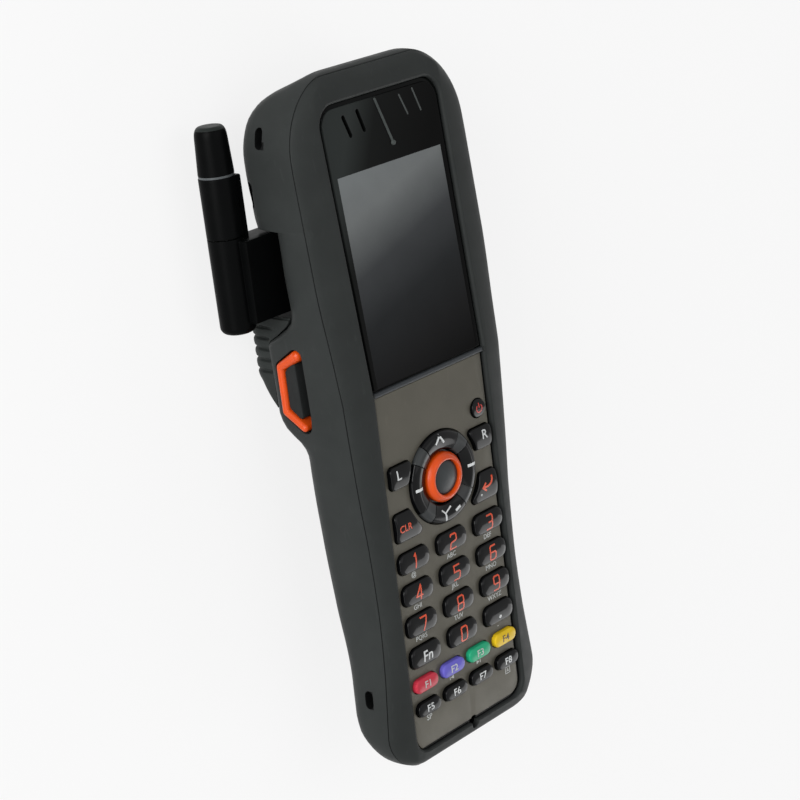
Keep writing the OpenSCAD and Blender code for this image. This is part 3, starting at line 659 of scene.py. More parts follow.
def front_skin():
    """The rim round the glass and the plate, with the seats of both."""
    o = boolean(cut(loft(0), loft(WALL)), behind_crease(0.0, 20), "INTERSECT")
    return cut(o, tool(field_plan(PLATE, SEAT_GAP), FLARE),
               tool(field_plan(WINDOW, SEAT_GAP), FLARE, tilt),
               block((-22.5, 22.5), (SEAM_Y - 0.6, SEAM_Y + 1.1), (-6, 3)),
               prism(rounded([NOTCH, (NOTCH[0], NOTCH[1] - 2)], 1.4), -1.8, 3))


def trigger_outline(m, front=0.0):
    """Outline of a trigger, moved out by m, and at its front edge up by front as well."""
    high = [(y, z + front) for y, z in (TRIGGER_AT[0], TRIGGER_AT[-1])]
    return rounded(TRIGGER_AT + high, 1.9 + m)


def side(s):
    """Places an outline on the right side (s = 1) or the left one (s = -1)."""
    return lambda u, v, h: (s * h, u, v)


def cover_slab(m, deep):
    """Between the back's surface moved in by COVER_T - m and the depth deep."""
    ys = [COVER_Y[0] - 1] + list(np.arange(-84, -8, 2.0)) + [COVER_Y[1] + 1]
    return prism([(y, -depth(y) + COVER_T - m) for y in ys][::-1]
                 + [(ys[0], deep), (ys[-1], deep)], -OUT, OUT, across)


def rear_skin():
    """Sides, ends and back, with the battery's tray, seats, slots, wells and pockets."""
    o = boolean(cut(loft(0), loft(WALL)), behind_crease(-SLIT, -60), "INTERSECT")
    lands = [block((-24, 24), (COVER_Y[0] - 1.4, COVER_Y[1] + 1.4), (DEEP, TRAY_Z + 1.3)),
             block((-15.6, 15.6), (-5.8, 5.8), (-4.2, 4), facet)]
    for s in (1, -1):
        lands += [prism(rounded(p, r + 1.5), 26.7, OUT, side(s)) for p, r in STRAPS]
        lands += [prism(circle((s * x, y), 2.5), DEEP, crease_z(y) - 2.8) for x, y in SCREWS]
    for land in lands:
        o = boolean(o, boolean(land, loft(0.4), "INTERSECT"), "UNION")
    recess = prism(pill(COVER_W + 0.6, COVER_L + 0.6, 3.3, (0, COVER_MID)), DEEP, TRAY_Z)
    o = cut(o, boolean(recess, cover_slab(-0.15, DEEP), "INTERSECT"),
            prism(pill(42.4, COVER_L - 2, 1.0, (0, COVER_MID)), DEEP, TRAY_Z))
    for s in (1, -1):
        o = cut(o, prism(trigger_outline(0.25, 0.4), 27, OUT, side(s)))
        o = cut(o, *(prism(rounded(p, r), 28.2, OUT, side(s)) for p, r in STRAPS))
        o = cut(o, *(prism(circle((s * x, y), 1.9), DEEP, 4.2 - depth(y)) for x, y in SCREWS))
    connector = rounded([(s * 9, z) for s in (-1, 1) for z in (-7.3, -5.9)], 0.9)
    return cut(o, prism(pill(28, 8.2, 0.8), -2.4, 12, facet),
               prism(pill(24.4, 6.4, 0.5), -8, 0, facet),
               prism(connector, Y_BOT - 1, Y_BOT + 5, along))


def cover_skin():
    """The battery cover, with the lock's pocket and slot and four finger grooves."""
    o = prism(pill(COVER_W, COVER_L, 3, (0, COVER_MID)), DEEP, 0)
    o = boolean(o, cover_slab(COVER_T, 0), "INTERSECT")
    o = boolean(o, cover_slab(0, DEEP), "INTERSECT")
    z = -depth(LOCK_Y)
    grooves = [COVER_Y[0] + 4.5 + i * 2.4 for i in range(4)]
    return cut(o, prism(pill(22, 9, 1.5, (0, LOCK_Y)), z - 1, z + 0.9),
               prism(pill(12, 3, 1.2, (0, LOCK_Y)), z - 1, z + 4),
               *(prism(rounded([(-8.5, y), (8.5, y)], 0.5), DEEP, 0.5 - depth(y))
                 for y in grooves))


def from_line(p, a, b):
    """Distance from p to the line between a and b."""
    p, a, b = Vector(p), Vector(a), Vector(b)
    t = max(0, min(1, (p - a).dot(b - a) / (b - a).length_squared))
    return (p - a.lerp(b, t)).length


# picks the walls of the strap slots, which are painted near-black: painted shade inside the
# slots
def in_strap_slot(x, y, z):
    return abs(x) > 27 and any(from_line((y, z), *p) < r + 0.03 for p, r in STRAPS)


finish_piece(front_skin(), "front_shell", "case", "shell", ["front_case"])
# the strap slots' walls are painted near-black rubber as painted shade
finish_piece(two_tone(rear_skin(), [MATS["shell"], MATS["dark_rubber"]], in_strap_slot),
             "rear_shell", "case", "shell", ["rear_case"])
finish_piece(cover_skin(), "battery_lid", "cover", "shell", ["battery_cover"])

# ---------------------------------------------------------------- ink: strokes and letters

INK_UP, INK_DOWN = 0.03, 0.12      # how far ink stands out of its surface and reaches into it


def ribbon(points, width, height, closed=False, step=0.4):
    """A strip of ink along points, laid on the surface z = height(x, y)."""
    pts = [Vector(p) for p in points]
    ends = list(zip(pts, pts[1:] + pts[:1])) if closed else list(zip(pts, pts[1:]))
    path = []
    for a, b in ends:
        n = max(1, round((b - a).length / step))
        path += [a.lerp(b, i / n) for i in range(n)]
    if not closed:
        path.append(pts[-1])
    n = len(path)
    verts, faces = [], []
    for i, p in enumerate(path):
        before = path[i - 1] if closed or i else p
        after = path[(i + 1) % n] if closed or i < n - 1 else p
        d1 = (p - before).normalized() if p != before else (after - p).normalized()
        d2 = (after - p).normalized() if p != after else d1
        mid = (d1 + d2).normalized()
        out = Vector((-mid.y, mid.x)) * (width / 2 / max(0.5, mid.dot(d2)))
        for q in (p + out, p - out):
            verts += [(q.x, q.y, height(q.x, q.y) + INK_UP),
                      (q.x, q.y, height(q.x, q.y) - INK_DOWN)]
    for i in range(n if closed else n - 1):
        a, b = 4 * i, 4 * ((i + 1) % n)
        faces += [(a, a + 2, b + 2, b), (a + 1, b + 1, b + 3, a + 3), (a, b, b + 1, a + 1),
                  (a + 2, a + 3, b + 3, b + 2)]
    if not closed:
        a = 4 * (n - 1)
        faces += [(0, 1, 3, 2), (a, a + 2, a + 3, a + 1)]
    return obj(verts, faces)


CAPITAL = 0.73                      # height of a capital in a font of size 1


def letters(text, cap, at, height, bold=0.0, wide=1.0, lean=0.0, slices=0.0):
    """Lettering with capitals cap mm high, centred at the point at, on z = height(x, y).

    slices cuts it into strips of that height, so that it can follow a crowned surface.
    """
    curve = bpy.data.curves.new("text", "FONT")
    curve.body, curve.size, curve.offset = text, cap / CAPITAL, bold
    curve.align_x, curve.resolution_u = "CENTER", 3
    holder = in_scene("text", curve)
    me = shown_mesh(holder)
    bpy.data.objects.remove(holder)
    bpy.data.curves.remove(curve)
    bm = bmesh.new()
    bm.from_mesh(me)
    bpy.data.meshes.remove(me)
    bmesh.ops.remove_doubles(bm, verts=bm.verts, dist=1e-5)
    mid_y = sum(f(v.co.y for v in bm.verts) for f in (min, max)) / 2
    mid_x = sum(f(v.co.x for v in bm.verts) for f in (min, max)) / 2
    for v in bm.verts:
        x, y = (v.co.x - mid_x) * wide, v.co.y - mid_y
        v.co = (at[0] + x + lean * y, at[1] + y, 0)
    if slices:
        k = math.floor((at[1] - cap) / slices)
        while k * slices < at[1] + cap:
            bmesh.ops.bisect_plane(bm, geom=bm.verts[:] + bm.edges[:] + bm.faces[:],
                                   plane_co=(0, k * slices, 0), plane_no=(0, 1, 0))
            k += 1
    for v in bm.verts:
        v.co.z = height(v.co.x, v.co.y) + INK_UP
    bmesh.ops.recalc_face_normals(bm, faces=bm.faces)
    if sum(f.normal.z for f in bm.faces) < 0:
        bmesh.ops.reverse_faces(bm, faces=bm.faces)
    top = bm.faces[:]
    low = bmesh.ops.extrude_face_region(bm, geom=top)
    for v in low["geom"]:
        if isinstance(v, bmesh.types.BMVert):
            v.co.z -= INK_UP + INK_DOWN
    bmesh.ops.reverse_faces(bm, faces=top)
    me = bpy.data.meshes.new("work")
    bm.to_mesh(me)
    bm.free()
    return in_scene("work", me)


DIGITS = {      # strokes of the segment-style digits, in mm, centred
    "0": [([(-1.2, -1.7), (-0.8, -2.1), (0.8, -2.1), (1.2, -1.7), (1.2, 1.7), (0.8, 2.1),
            (-0.8, 2.1), (-1.2, 1.7)], True)],
    "1": [([(-0.6, 1.5), (0.1, 2.1), (0.1, -2.1)], False)],
    "2": [([(-1.2, 1.5), (-0.8, 2.1), (0.8, 2.1), (1.2, 1.7), (1.2, 0.45), (0.8, 0.05),
            (-0.8, -0.15), (-1.2, -0.5), (-1.2, -2.1), (1.3, -2.1)], False)],
    "3": [([(-1.2, 2.1), (0.8, 2.1), (1.2, 1.7), (1.2, 0.4), (0.85, 0), (1.2, -0.4),
            (1.2, -1.7), (0.8, -2.1), (-1.2, -2.1)], False), ([(-0.6, 0), (0.8, 0)], False)],
    "4": [([(0.55, -2.1), (0.55, 2.1), (-1.3, -0.6), (-1.3, -0.9), (1.35, -0.9)], False)],
    "5": [([(1.2, 2.1), (-1.15, 2.1), (-1.15, 0.3), (0.8, 0.3), (1.2, -0.1), (1.2, -1.7),
            (0.8, -2.1), (-1.2, -2.1)], False)],
    "6": [([(1.1, 2.1), (-0.8, 2.1), (-1.2, 1.7), (-1.2, -1.7), (-0.8, -2.1), (0.8, -2.1),
            (1.2, -1.7), (1.2, -0.2), (0.8, 0.2), (-1.0, 0.2)], False)],
    "7": [([(-1.3, 2.1), (1.2, 2.1), (1.2, 1.6), (0.1, -2.1)], False)],
    "8": [([(-1.2, -1.7), (-0.8, -2.1), (0.8, -2.1), (1.2, -1.7), (1.2, -0.4), (0.9, 0),
            (1.2, 0.4), (1.2, 1.7), (0.8, 2.1), (-0.8, 2.1), (-1.2, 1.7), (-1.2, 0.4),
            (-0.9, 0), (-1.2, -0.4)], True), ([(-0.8, 0), (0.8, 0)], False)],
}
DIGITS["9"] = [([(-x, -y) for x, y in p], c) for p, c in DIGITS["6"]]


# ---------------------------------------------------------------- keys

PAD_Y = -17.7                       # middle of the cursor pad
KEY_RISE, SKIRT = 1.5, -1.9         # top and lower end of the keys
STROKE, LEAN = 0.46, 0.06           # width and lean of the digits' strokes
ROWS, COLUMN = (-36.7, -46.1, -55.5, -64.9), 15.8
FN_ROWS, FN_PITCH = (-73.3, -80.5), 11.4
KEY_SIZE, FN_SIZE = (12, 6, 2.2), (9.3, 4.1, 1.9)       # width, height and corner radius
POWER_AT, POWER_R = (17.5, -3.3), 2.7
# The keys beside the cursor pad: their x and y ranges, and how far they stay from its middle.
SHOULDER = ([12.2, 21], [-15, -8.5], 14.6)
HIP = ([10.8, 21.3], [-30.3, -21.9], 15.2)


def round_box(c, w, h, r):
    """Signed distance to a box with rounded corners."""
    def f(x, y):
        qx, qy = abs(x - c[0]) - w / 2 + r, abs(y - c[1]) - h / 2 + r
        return math.hypot(max(qx, 0), max(qy, 0)) + min(max(qx, qy), 0) - r
    return f


def beside_pad(s, x, y, clear, soft=0.8):
    """A key beside the cursor ring, cut away round it, with the cut's corners rounded."""
    box = round_box((s * sum(x) / 2, sum(y) / 2), x[1] - x[0], y[1] - y[0], 1.3)

    def f(px, py):
        a, b = box(px, py), clear - math.hypot(px, py - PAD_Y)
        h = max(soft - abs(a - b), 0) / soft
        return max(a, b) + h * h * soft / 4
    return f


def crown(rise, r, mid, half=99.0, sink=0.05):
    """A cap's top: round about a line along x, and falling off near both ends."""
    return lambda x, y: (rise - r + math.sqrt(max(r * r - (y - mid[1]) ** 2, 0.01))
                         - sink * max(0, abs(x - mid[0]) - half) ** 2)


def cap(shape, c, top, fillet=0.42, n=96):
    """A glossy cap with a crowned top; shape is a signed distance, c a point inside."""
    rings = [[(x, y, SKIRT) for x, y in contour(shape, c, 0, n)]]
    for a in quarter(6):
        edge = contour(shape, c, -fillet * (1 - math.cos(a)), n)
        rings.append([(x, y, top(x, y) - fillet * (1 - math.sin(a))) for x, y in edge])
    for k in (0.88, 0.75, 0.6, 0.45, 0.3, 0.15):
        inner = [(c[0] + k * (x - c[0]), c[1] + k * (y - c[1])) for x, y in edge]
        rings.append([(x, y, top(x, y)) for x, y in inner])
    return skin(rings, (*c, top(*c)))


def key(node, body, slot, inks, name=None):
    """A key cap with its ink; inks are (work object, ink colour)."""
    parts = [paint(body, MATS[slot])] + [paint(o, INK[colour]) for o, colour in inks]
    finish_piece(join(parts), name or node + "_cap", node, slot, [node])


def strokes(figure, at, top):
    """The strokes of a digit, leaning a little."""
    return [ribbon([(at[0] + x + LEAN * y, at[1] + y) for x, y in p], STROKE, top, closed)
            for p, closed in figure]


def main_key(name, c):
    """A key of the four wide rows; its sign follows from its name."""
    top = crown(KEY_RISE, 9, c, 3.6)
    if name == "fn":
        at = (c[0] + 0.3, c[1] - 0.2)
        inks = [(letters("Fn", 3.3, at, top, 0.05, 0.95, 0.06, 0.4), "white")]
    elif name == "point":
        inks = [(ribbon(circle((c[0], c[1] - 1.2), 0.3, 12), 0.45, top, True), "white")]
    else:
        inks = [(o, "orange") for o in strokes(DIGITS[name], (c[0], c[1] - 0.1), top)]
    key("key_" + name, cap(round_box(c, *KEY_SIZE), c, top), "key", inks)


def function_key(number, c, slot, ink):
    top = crown(KEY_RISE, 7, c, 2.8)
    text = "F%d" % number
    key("key_" + text.lower(), cap(round_box(c, *FN_SIZE), c, top, 0.36), slot,
        [(letters(text, 2.1, c, top, 0.03, 1.1, 0.0, 0.4), ink)])


def power_key():
    x, y = POWER_AT
    top = crown(0.9, 6, POWER_AT)
    arc = [(x + 1.15 * math.cos(math.radians(a)), y + 1.15 * math.sin(math.radians(a)))
           for a in range(130, 411, 20)]
    stem = [(x, y + 0.2), (x, y + 1.6)]
    shape = round_box(POWER_AT, 2 * POWER_R, 2 * POWER_R, POWER_R)
    key("power_key", cap(shape, POWER_AT, top, 0.3), "key",
        [(ribbon(arc, 0.34, top, step=0.3), "red"), (ribbon(stem, 0.34, top), "red")],
        "power_cap")


def soft_key(s, side_name, text):
    """The L and R keys above the cursor pad."""
    top = crown(KEY_RISE, 12, (s * 17, -11.7), 2.6)
    sign = letters(text, 2.8, (s * 18, -10.9), top, 0.05, 1.0, 0.0, 0.4)
    key(side_name + "_key", cap(beside_pad(s, *SHOULDER), (s * 17.2, -11.4), top), "key",
        [(sign, "white")], side_name + "_soft_key")


def low_key(s, node, make_inks, name):
    """The two keys below the cursor pad; make_inks(top) gives their signs."""
    top = crown(KEY_RISE, 12, (s * 16.5, -26.1), 3.2)
    key(node, cap(beside_pad(s, *HIP), (s * 17.2, -26.4), top), "key", make_inks(top), name)


def clear_sign(top):
    return [(letters("CLR", 2.1, (-17.9, -26.2), top, 0.03, 0.95, 0.0, 0.4), "orange")]


def back_sign(top):
    """A bent arrow and a dot."""
    bend = [(18.9, -23.6), (18.9, -24.3), (18.7, -25.0), (18.25, -25.6), (17.6, -26.0),
            (16.8, -26.2), (14.9, -26.2)]
    head = [(16.1, -25.0), (14.7, -26.2), (16.1, -27.4)]
    return [(ribbon(bend, 0.62, top), "orange"), (ribbon(head, 0.6, top), "orange"),
            (ribbon(circle((13.9, -28.0), 0.2, 10), 0.3, top, True), "pale")]


for y, row in zip(ROWS, (("1", "2", "3"), ("4", "5", "6"), ("7", "8", "9"),
                         ("fn", "0", "point"))):
    for col, name in zip((-1, 0, 1), row):
        main_key(name, (col * COLUMN, y))
FN_LOOKS = [("key_" + c, "pale") for c in ("red", "violet", "green")]
FN_LOOKS += [("key_yellow", "dark")] + [("key", "white")] * 4
for k, (slot, ink) in enumerate(FN_LOOKS):
    function_key(k + 1, ((k % 4 - 1.5) * FN_PITCH, FN_ROWS[k // 4]), slot, ink)
power_key()
soft_key(-1, "left", "L")
soft_key(1, "right", "R")
low_key(-1, "clear_key", clear_sign, "clear_cap")
low_key(1, "back_key", back_sign, "back_cap")

# ---------------------------------------------------------------- cursor pad

RING_IN, RING_OUT, RING_LOW = 7.9, 13.3, -1.2
ring_top = smooth([[RING_IN, 0.5], [8.3, 0.9], [9.3, 1.3], [11.1, 1.7], [12.3, 1.5],
                   [13.0, 1.0], [13.2, 0.65], [RING_OUT, 0.3]])
RING_R = [RING_IN, 8.0, 8.1, 8.3, 8.6, 9, 9.5, 10, 10.6, 11.1, 11.6, 12, 12.3, 12.6, 12.8, 13.0,
          13.1, 13.2, 13.27, RING_OUT]
RING_CUTS = (33.5, 56.5)            # where the ring's lighter corners start and end, in degrees
CUT_W, CUT_DEPTH = 0.26, 0.16       # the lines between them


def at_pad(u, v, h):
    return (u, PAD_Y + v, h)


def on_ring(x, y):
    return ring_top(math.hypot(x, y - PAD_Y))


def turned(points, a):
    """Points round the pad's centre, turned by a degrees."""
    ca, sa = math.cos(math.radians(a)), math.sin(math.radians(a))
    return [(ca * x - sa * y, PAD_Y + sa * x + ca * y) for x, y in points]


def ring_line(a):
    """A cutter for the line across the ring at a degrees."""
    mark = turned([(u, v * CUT_W / 2) for u, v in ((6, -1), (14.5, -1), (14.5, 1), (6, 1))], a)
    return skin([[(x, y, on_ring(x, y) - CUT_DEPTH) for x, y in mark],
                 [(x, y, 4) for x, y in mark]])


def in_corner(x, y, z):
    return RING_CUTS[0] < math.degrees(math.atan2(y - PAD_Y, x)) % 90 < RING_CUTS[1]


def cursor_ring():
    profile = [(RING_IN, RING_LOW)] + [(r, ring_top(r)) for r in RING_R]
    ring = lathe(profile + [(RING_OUT - 0.1, RING_LOW)], at_pad, 160, False)
    ring = cut(ring, *(ring_line(90 * q + d) for q in range(4) for d in RING_CUTS))
    signs = [([(9.5, 0), (12.4, 0)], 0.85, 0), ([(9.5, 0), (12.4, 0)], 0.85, 180),
             ([(-2.6, 10.3), (-0.7, 12.3), (0.9, 9.9)], 0.62, 0),
             ([(-3.0, -8.9), (-1.9, -10.1), (0.9, -8.9)], 0.45, 0),
             ([(-1.9, -10.1), (-1.7, -12.4)], 0.62, 0), ([(2.3, -10.7), (4.3, -9.9)], 0.75, 0)]
    marks = [paint(ribbon(turned(p, a), w, on_ring), INK["white"]) for p, w, a in signs]
    return join([two_tone(ring, [MATS["key"], RING_GREY], in_corner)] + marks)


def enter_dome():
    """The button inside the orange ring: a flat dome whose edge is rounded."""
    r, ball, high, foot = 4.9, 14, 2.3, 7.5
    edge = [(r, 0.35), (4.86, 0.2), (4.75, 0.08), (4.6, 0.02)] + [
        (u, 0) for u in (4.3, 3.6, 2.8, 2, 1.2, 0.5)]
    dome = [(0, -2), (foot, -2), (foot, -1.05), (r, -1.05)]
    dome += [(u, high - ball + math.sqrt(ball * ball - u * u) - d) for u, d in edge]
    return lathe(dome + [(0, high)], at_pad, 128)


ENTER = [(5.0, -1), (7.1, -1), (7.1, 0.85), (7.04, 1.05), (6.9, 1.27), (6.6, 1.65), (6.3, 2.0),
         (6.05, 2.2), (5.8, 2.33), (5.5, 2.38), (5.28, 2.36), (5.1, 2.26), (5.0, 2.05)]
finish_piece(cursor_ring(), "cursor_ring_cap", "cursor", "key", ["cursor_ring"])
finish_piece(lathe(ENTER, at_pad, 128, False), "centre_key_ring", "enter", "orange",
             ["enter_ring"])
finish_piece(enter_dome(), "centre_key_dome", "enter", "dome", ["enter_button"])

# ---------------------------------------------------------------- keypad plate

# the trough's low faces are painted black further down, as painted shade
TROUGH_Z = -0.55                    # floor of the trough right of the plate and at its foot
THROUGH = (-3, 3)                   # heights of what cuts right through the plate or the glass
KEY_GAP = 0.25                      # between a key and the plate


def on_plate(x, y):
    return 0.0


def trough():
    """What the trough takes off the plate: all but its raised middle."""
    r, beyond = 4, -30
    raised = hull2(circle((21.7 - r, -92.1 + r), r, 40) + circle((beyond, -92.1 + r), r, 40)
                   + [(beyond, 20), (21.3, 20)])
    edge = [(-2, 0), (-0.2, 0), (-0.1, -0.03), (-0.03, -0.1), (0.01, -0.2), (4, -0.2)]
    return boolean(block((-60, 60), (-FAR, 18), (TROUGH_Z, 3)), tool(raised, edge))


def plate_openings():
    """One cutter for every key, the cursor pad and the notch, each with its gap."""
    def opening(size, c):
        w, h, r = size
        return pill(w + 2 * KEY_GAP, h + 2 * KEY_GAP, r + KEY_GAP, c)
    cuts = [opening(KEY_SIZE, (col * COLUMN, y)) for y in ROWS for col in (-1, 0, 1)]
    cuts += [opening(FN_SIZE, ((col - 1.5) * FN_PITCH, y)) for y in FN_ROWS for col in range(4)]
    cuts += [circle(POWER_AT, POWER_R + KEY_GAP, 64),
             circle((0, PAD_Y), RING_OUT + KEY_GAP, 160),
             pill(2.8, 3.4, 1.3, (NOTCH[0], NOTCH[1] - 1.2))]
    cuts += [contour(beside_pad(s, x, y, clear), (s * 17.2, sum(y) / 2), KEY_GAP, 120)
             for s in (-1, 1) for x, y, clear in (SHOULDER, HIP)]
    return join([prism(outline, *THROUGH) for outline in cuts])


def keypad_plate():
    """Sliced through the openings first, so that no face is left with a hole in it."""
    plate = tool(field_plan(PLATE, 0), [(-1, 0), (-0.22, 0), (-0.12, -0.03), (-0.04, -0.1),
                                        (0, -0.2), (0, -0.35)])
    plate = sliced(boolean(plate, trough()),
                   [s * x for s in (-1, 1) for x in (5.7, 15.8, 17.15)] + [0, POWER_AT[0]],
                   ROWS + FN_ROWS + (POWER_AT[1], -11.75, PAD_Y, -26.1, NOTCH[1]))
    plate = boolean(plate, plate_openings(), solver="EXACT")
    # Faces below -0.5 mm, the trough and the plate's low edges, are painted black: painted shade
    # in the trough between the plate and the rim.
    return two_tone(plate, [MATS["plate"], MATS["panel"]], lambda x, y, z: z < -0.5)


def plate_lettering():
    """The letters under the digits, and the small signs under the function keys."""
    signs = [("@", -1, 0), ("ABC", 0, 0), ("DEF", 1, 0), ("GHI", -1, 1), ("JKL", 0, 1),
             ("MNO", 1, 1), ("PQRS", -1, 2), ("TUV", 0, 2), ("WXYZ", 1, 2), ("-", 1, 3)]
    ink = [letters(t, 1.45, (c * COLUMN, ROWS[r] - 4.45), on_plate, 0.02) for t, c, r in signs]
    ink.append(letters("SP", 1.7, (-1.5 * FN_PITCH + 0.4, FN_ROWS[1] - 3.5), on_plate, 0.03))
    for s in (-1, 1):             # skip signs under F2 and F3
        x, y = s * FN_PITCH / 2, FN_ROWS[0] - 3.2
        ink.append(ribbon([(x + s * 0.9, y - 0.55), (x + s * 0.9, y + 0.55)], 0.26, on_plate))
        arrow = [(x - s * 0.7, y - 0.6), (x + s * 0.6, y), (x - s * 0.7, y + 0.6)]
        ink.append(prism(arrow[::s], -INK_DOWN, INK_UP))
    x, y = 1.5 * FN_PITCH + 0.6, FN_ROWS[1] - 3.7
    square = [(x + 0.95 * u, y + 0.95 * v) for u, v in ((-1, -1), (1, -1), (1, 1), (-1, 1))]
    ink.append(letters("A", 1.1, (x, y), on_plate, 0.03))
    ink.append(ribbon(square, 0.22, on_plate, True))
    return join([paint(o, INK["pale"]) for o in ink])


finish_piece(keypad_plate(), "keypad_face", "case", "plate", ["keypad_plate"])
finish_piece(plate_lettering(), "plate_lettering", "case", "plate")

# ---------------------------------------------------------------- display half

BEAD = [(11.95, -1), (13.25, -1), (13.25, -0.1), (13.2, 0.1), (13.08, 0.24), (12.9, 0.33),
        (12.6, 0.36), (12.3, 0.33), (12.12, 0.24), (12.0, 0.1), (11.95, -0.1)]
SCREEN = ((-20.3, 20.4), (1.7, 59.0))
SCREEN_Z = -0.35                    # floor of the display's recess in the glass
# the step is painted black, as the shade of the gap round the glass
STEP_Z = -0.6                       # the black step round the glass
RIB = [(-1.65, 76.2), (2.4, 63.6)]


def above_glass(y, z):
    """Height of a point over the glass's face."""
    return (y - SEAM_Y) * math.sin(BEND) + z * math.cos(BEND)


def display_glass():
    """The glass with its step, its slots and the recess of the display, and the rib on it; the
    step and the slot walls are painted black as shade.
    """
    glass = tool(field_plan(WINDOW, 0),
                 [(-1.6, 0), (-0.75, 0), (-0.64, -0.04), (STEP_Z, -0.12), (STEP_Z, -1.1),
                  (-0.12, -1.14), (-0.04, -1.2), (0, -1.32), (0, -1.5)], tilt)
    glass = cut(glass, *(prism(rounded(p, r, 20), *THROUGH, tilt)
                         for p, r in zip(SLOTS, (0.6, 0.6, 0.32, 0.32))),
                block(*SCREEN, (SCREEN_Z, 2), tilt))
    # Faces more than 0.4 mm under the glass's face, the step and the slot walls, are painted
    # black: painted shade in the gap round the glass and in the slots.
    glass = two_tone(glass, [GLASS_PAINTED_REFLECTION, MATS["panel"]], lambda x, y, z: above_glass(y, z) < -0.4)
    rib = tool(rounded(RIB, 0.28, 20), [(-0.3, 0), (0.3, 0), (0.4, -0.05), (0.45, -0.16)], tilt)
    knob = tool(circle(RIB[1], 0.7, 28), [(-0.3, 0), (0.4, 0), (0.56, -0.1), (0.65, -0.3)],
                tilt)
    return join([glass, paint(boolean(rib, knob, "UNION"), RIB_GREY)])


def indicator_windows():
    edge = [(-4, 0), (-0.05, 0), (0.04, -0.04), (0.08, -0.12)]
    return join([tool(rounded(p, 0.29, 20), edge, tilt) for p in SLOTS[2:]])


finish_piece(prism(BEAD, -22.3, 22.3, across), "seam_bead", "case", "trim", ["seam_trim"])
finish_piece(display_glass(), "display_glass", "case", "panel", ["display_window"])
# the display's field carries the painted reflection
finish_piece(paint(block(*SCREEN, (SCREEN_Z + 0.01, -0.03), tilt), LCD_WITH_PAINTED_REFLECTION), "display_field", "case",
             "screen")
finish_piece(indicator_windows(), "indicator_windows", "case", "lens", ["indicator_lenses"])

# ---------------------------------------------------------------- side triggers

# The angles, in degrees, at which the rim's arc round each corner starts and ends.
RIM_ARCS = [(-30.0, -33.2), (-33.2, -90.0), (-90.0, -148.6), (-148.6, -152.0)]
RIM_OUT, RIM_BASE, RIM_TOP = 1.8, 29.8, 34.2        # the rim round the arcs, and from x to x
RIM_HALF, RIM_MORE, RIM_TAPER = 1.2, 0.42, 8        # half width, more at the start, and its run


def trigger_rim(s):
    """A tube that follows the trigger's outline, open to the front, thicker at the head end."""
    stations, run, prev = [], 0.0, None
    for c, (a0, a1) in zip(TRIGGER_AT, RIM_ARCS):
        steps = max(1, round(abs(a1 - a0) / 6))
        for i in range(steps + 1):
            a = math.radians(a0 + (a1 - a0) * i / steps)
            n = Vector((math.cos(a), math.sin(a)))
            here = Vector(c) + n * RIM_OUT
            run += (here - prev).length if prev else 0
            prev = here
            thick = max(0.0, 1 - run / RIM_TAPER)
            hw = RIM_HALF + RIM_MORE * thick * thick * (3 - 2 * thick)
            stations.append((Vector(c) + n * (RIM_OUT - hw), n, hw, RIM_TOP - hw))
    for end in (0, -1):             # round ends
        c, n, hw, mid = stations[end]
        on = Vector((-n.y, n.x)) if end == 0 else Vector((n.y, -n.x))
        extra = [(c + on * hw * math.sin(math.radians(f)), n,
                  max(0.03, hw * math.cos(math.radians(f))), mid)
                 for f in (15, 30, 45, 58, 70, 80, 88)]
        stations = extra[::-1] + stations if end == 0 else stations + extra
    rings = []
    for c, n, hw, mid in stations:
        ring = [(-hw, RIM_BASE), (hw, RIM_BASE)]
        ring += [(hw * math.cos(math.radians(f)), mid + hw * math.sin(math.radians(f)))
                 for f in range(0, 181, 12)]
        rings.append([(s * x, *(c + n * u)) for u, x in ring])
    return skin(rings)


PAD_OUTLINE = hull2(circle((22.3, -18.1), 0.9) + circle((8.5, -17.5), 0.9)
                    + circle((19.9, -19.8), 1.5) + circle((10.9, -19.8), 1.5))


def trigger_pad(s):
    """The rubber pad inside the rim, on its dark flange."""
    edge = [(29.6, 0), (33.0, 0), (33.12, -0.04), (33.22, -0.12), (33.28, -0.24), (33.3, -0.4),
            (33.3, -0.7)]
    flange = prism(trigger_outline(1, 0.4), 28.6, RIM_BASE, side(s))
    return join([paint(tool(PAD_OUTLINE, edge, side(s)), MATS["pad"]),
                 paint(flange, MATS["dark_rubber"])])


for s, name in ((-1, "left_trigger"), (1, "right_trigger")):
    finish_piece(trigger_rim(s), name + "_bow", name, "orange", [name + "_rim"])
    finish_piece(trigger_pad(s), name + "_face", name, "pad", [name + "_pad"])

# ---------------------------------------------------------------- antenna unit

ROD_X, ROD_Z, ROD_R = -41.8, -27.3, 4.9             # the barrel's axis and radius
UNIT_Y, ROD_Y, TIP_Y = 36.4, (33.6, 75.9), (76.5, 89.2)


def on_barrel(u, v, h):
    return (ROD_X + u, h, ROD_Z + v)


def soft_rod(r, y, low, high):
    """Lathe profile of a rod from y[0] to y[1] with its ends rounded by low and high."""
    return ([(0, y[0])] + [(r - low + low * math.sin(a), y[0] + low - low * math.cos(a))
                           for a in quarter(6)]
            + [(r - high + high * math.cos(a), y[1] - high + high * math.sin(a))
               for a in quarter(6)] + [(0, y[1])])


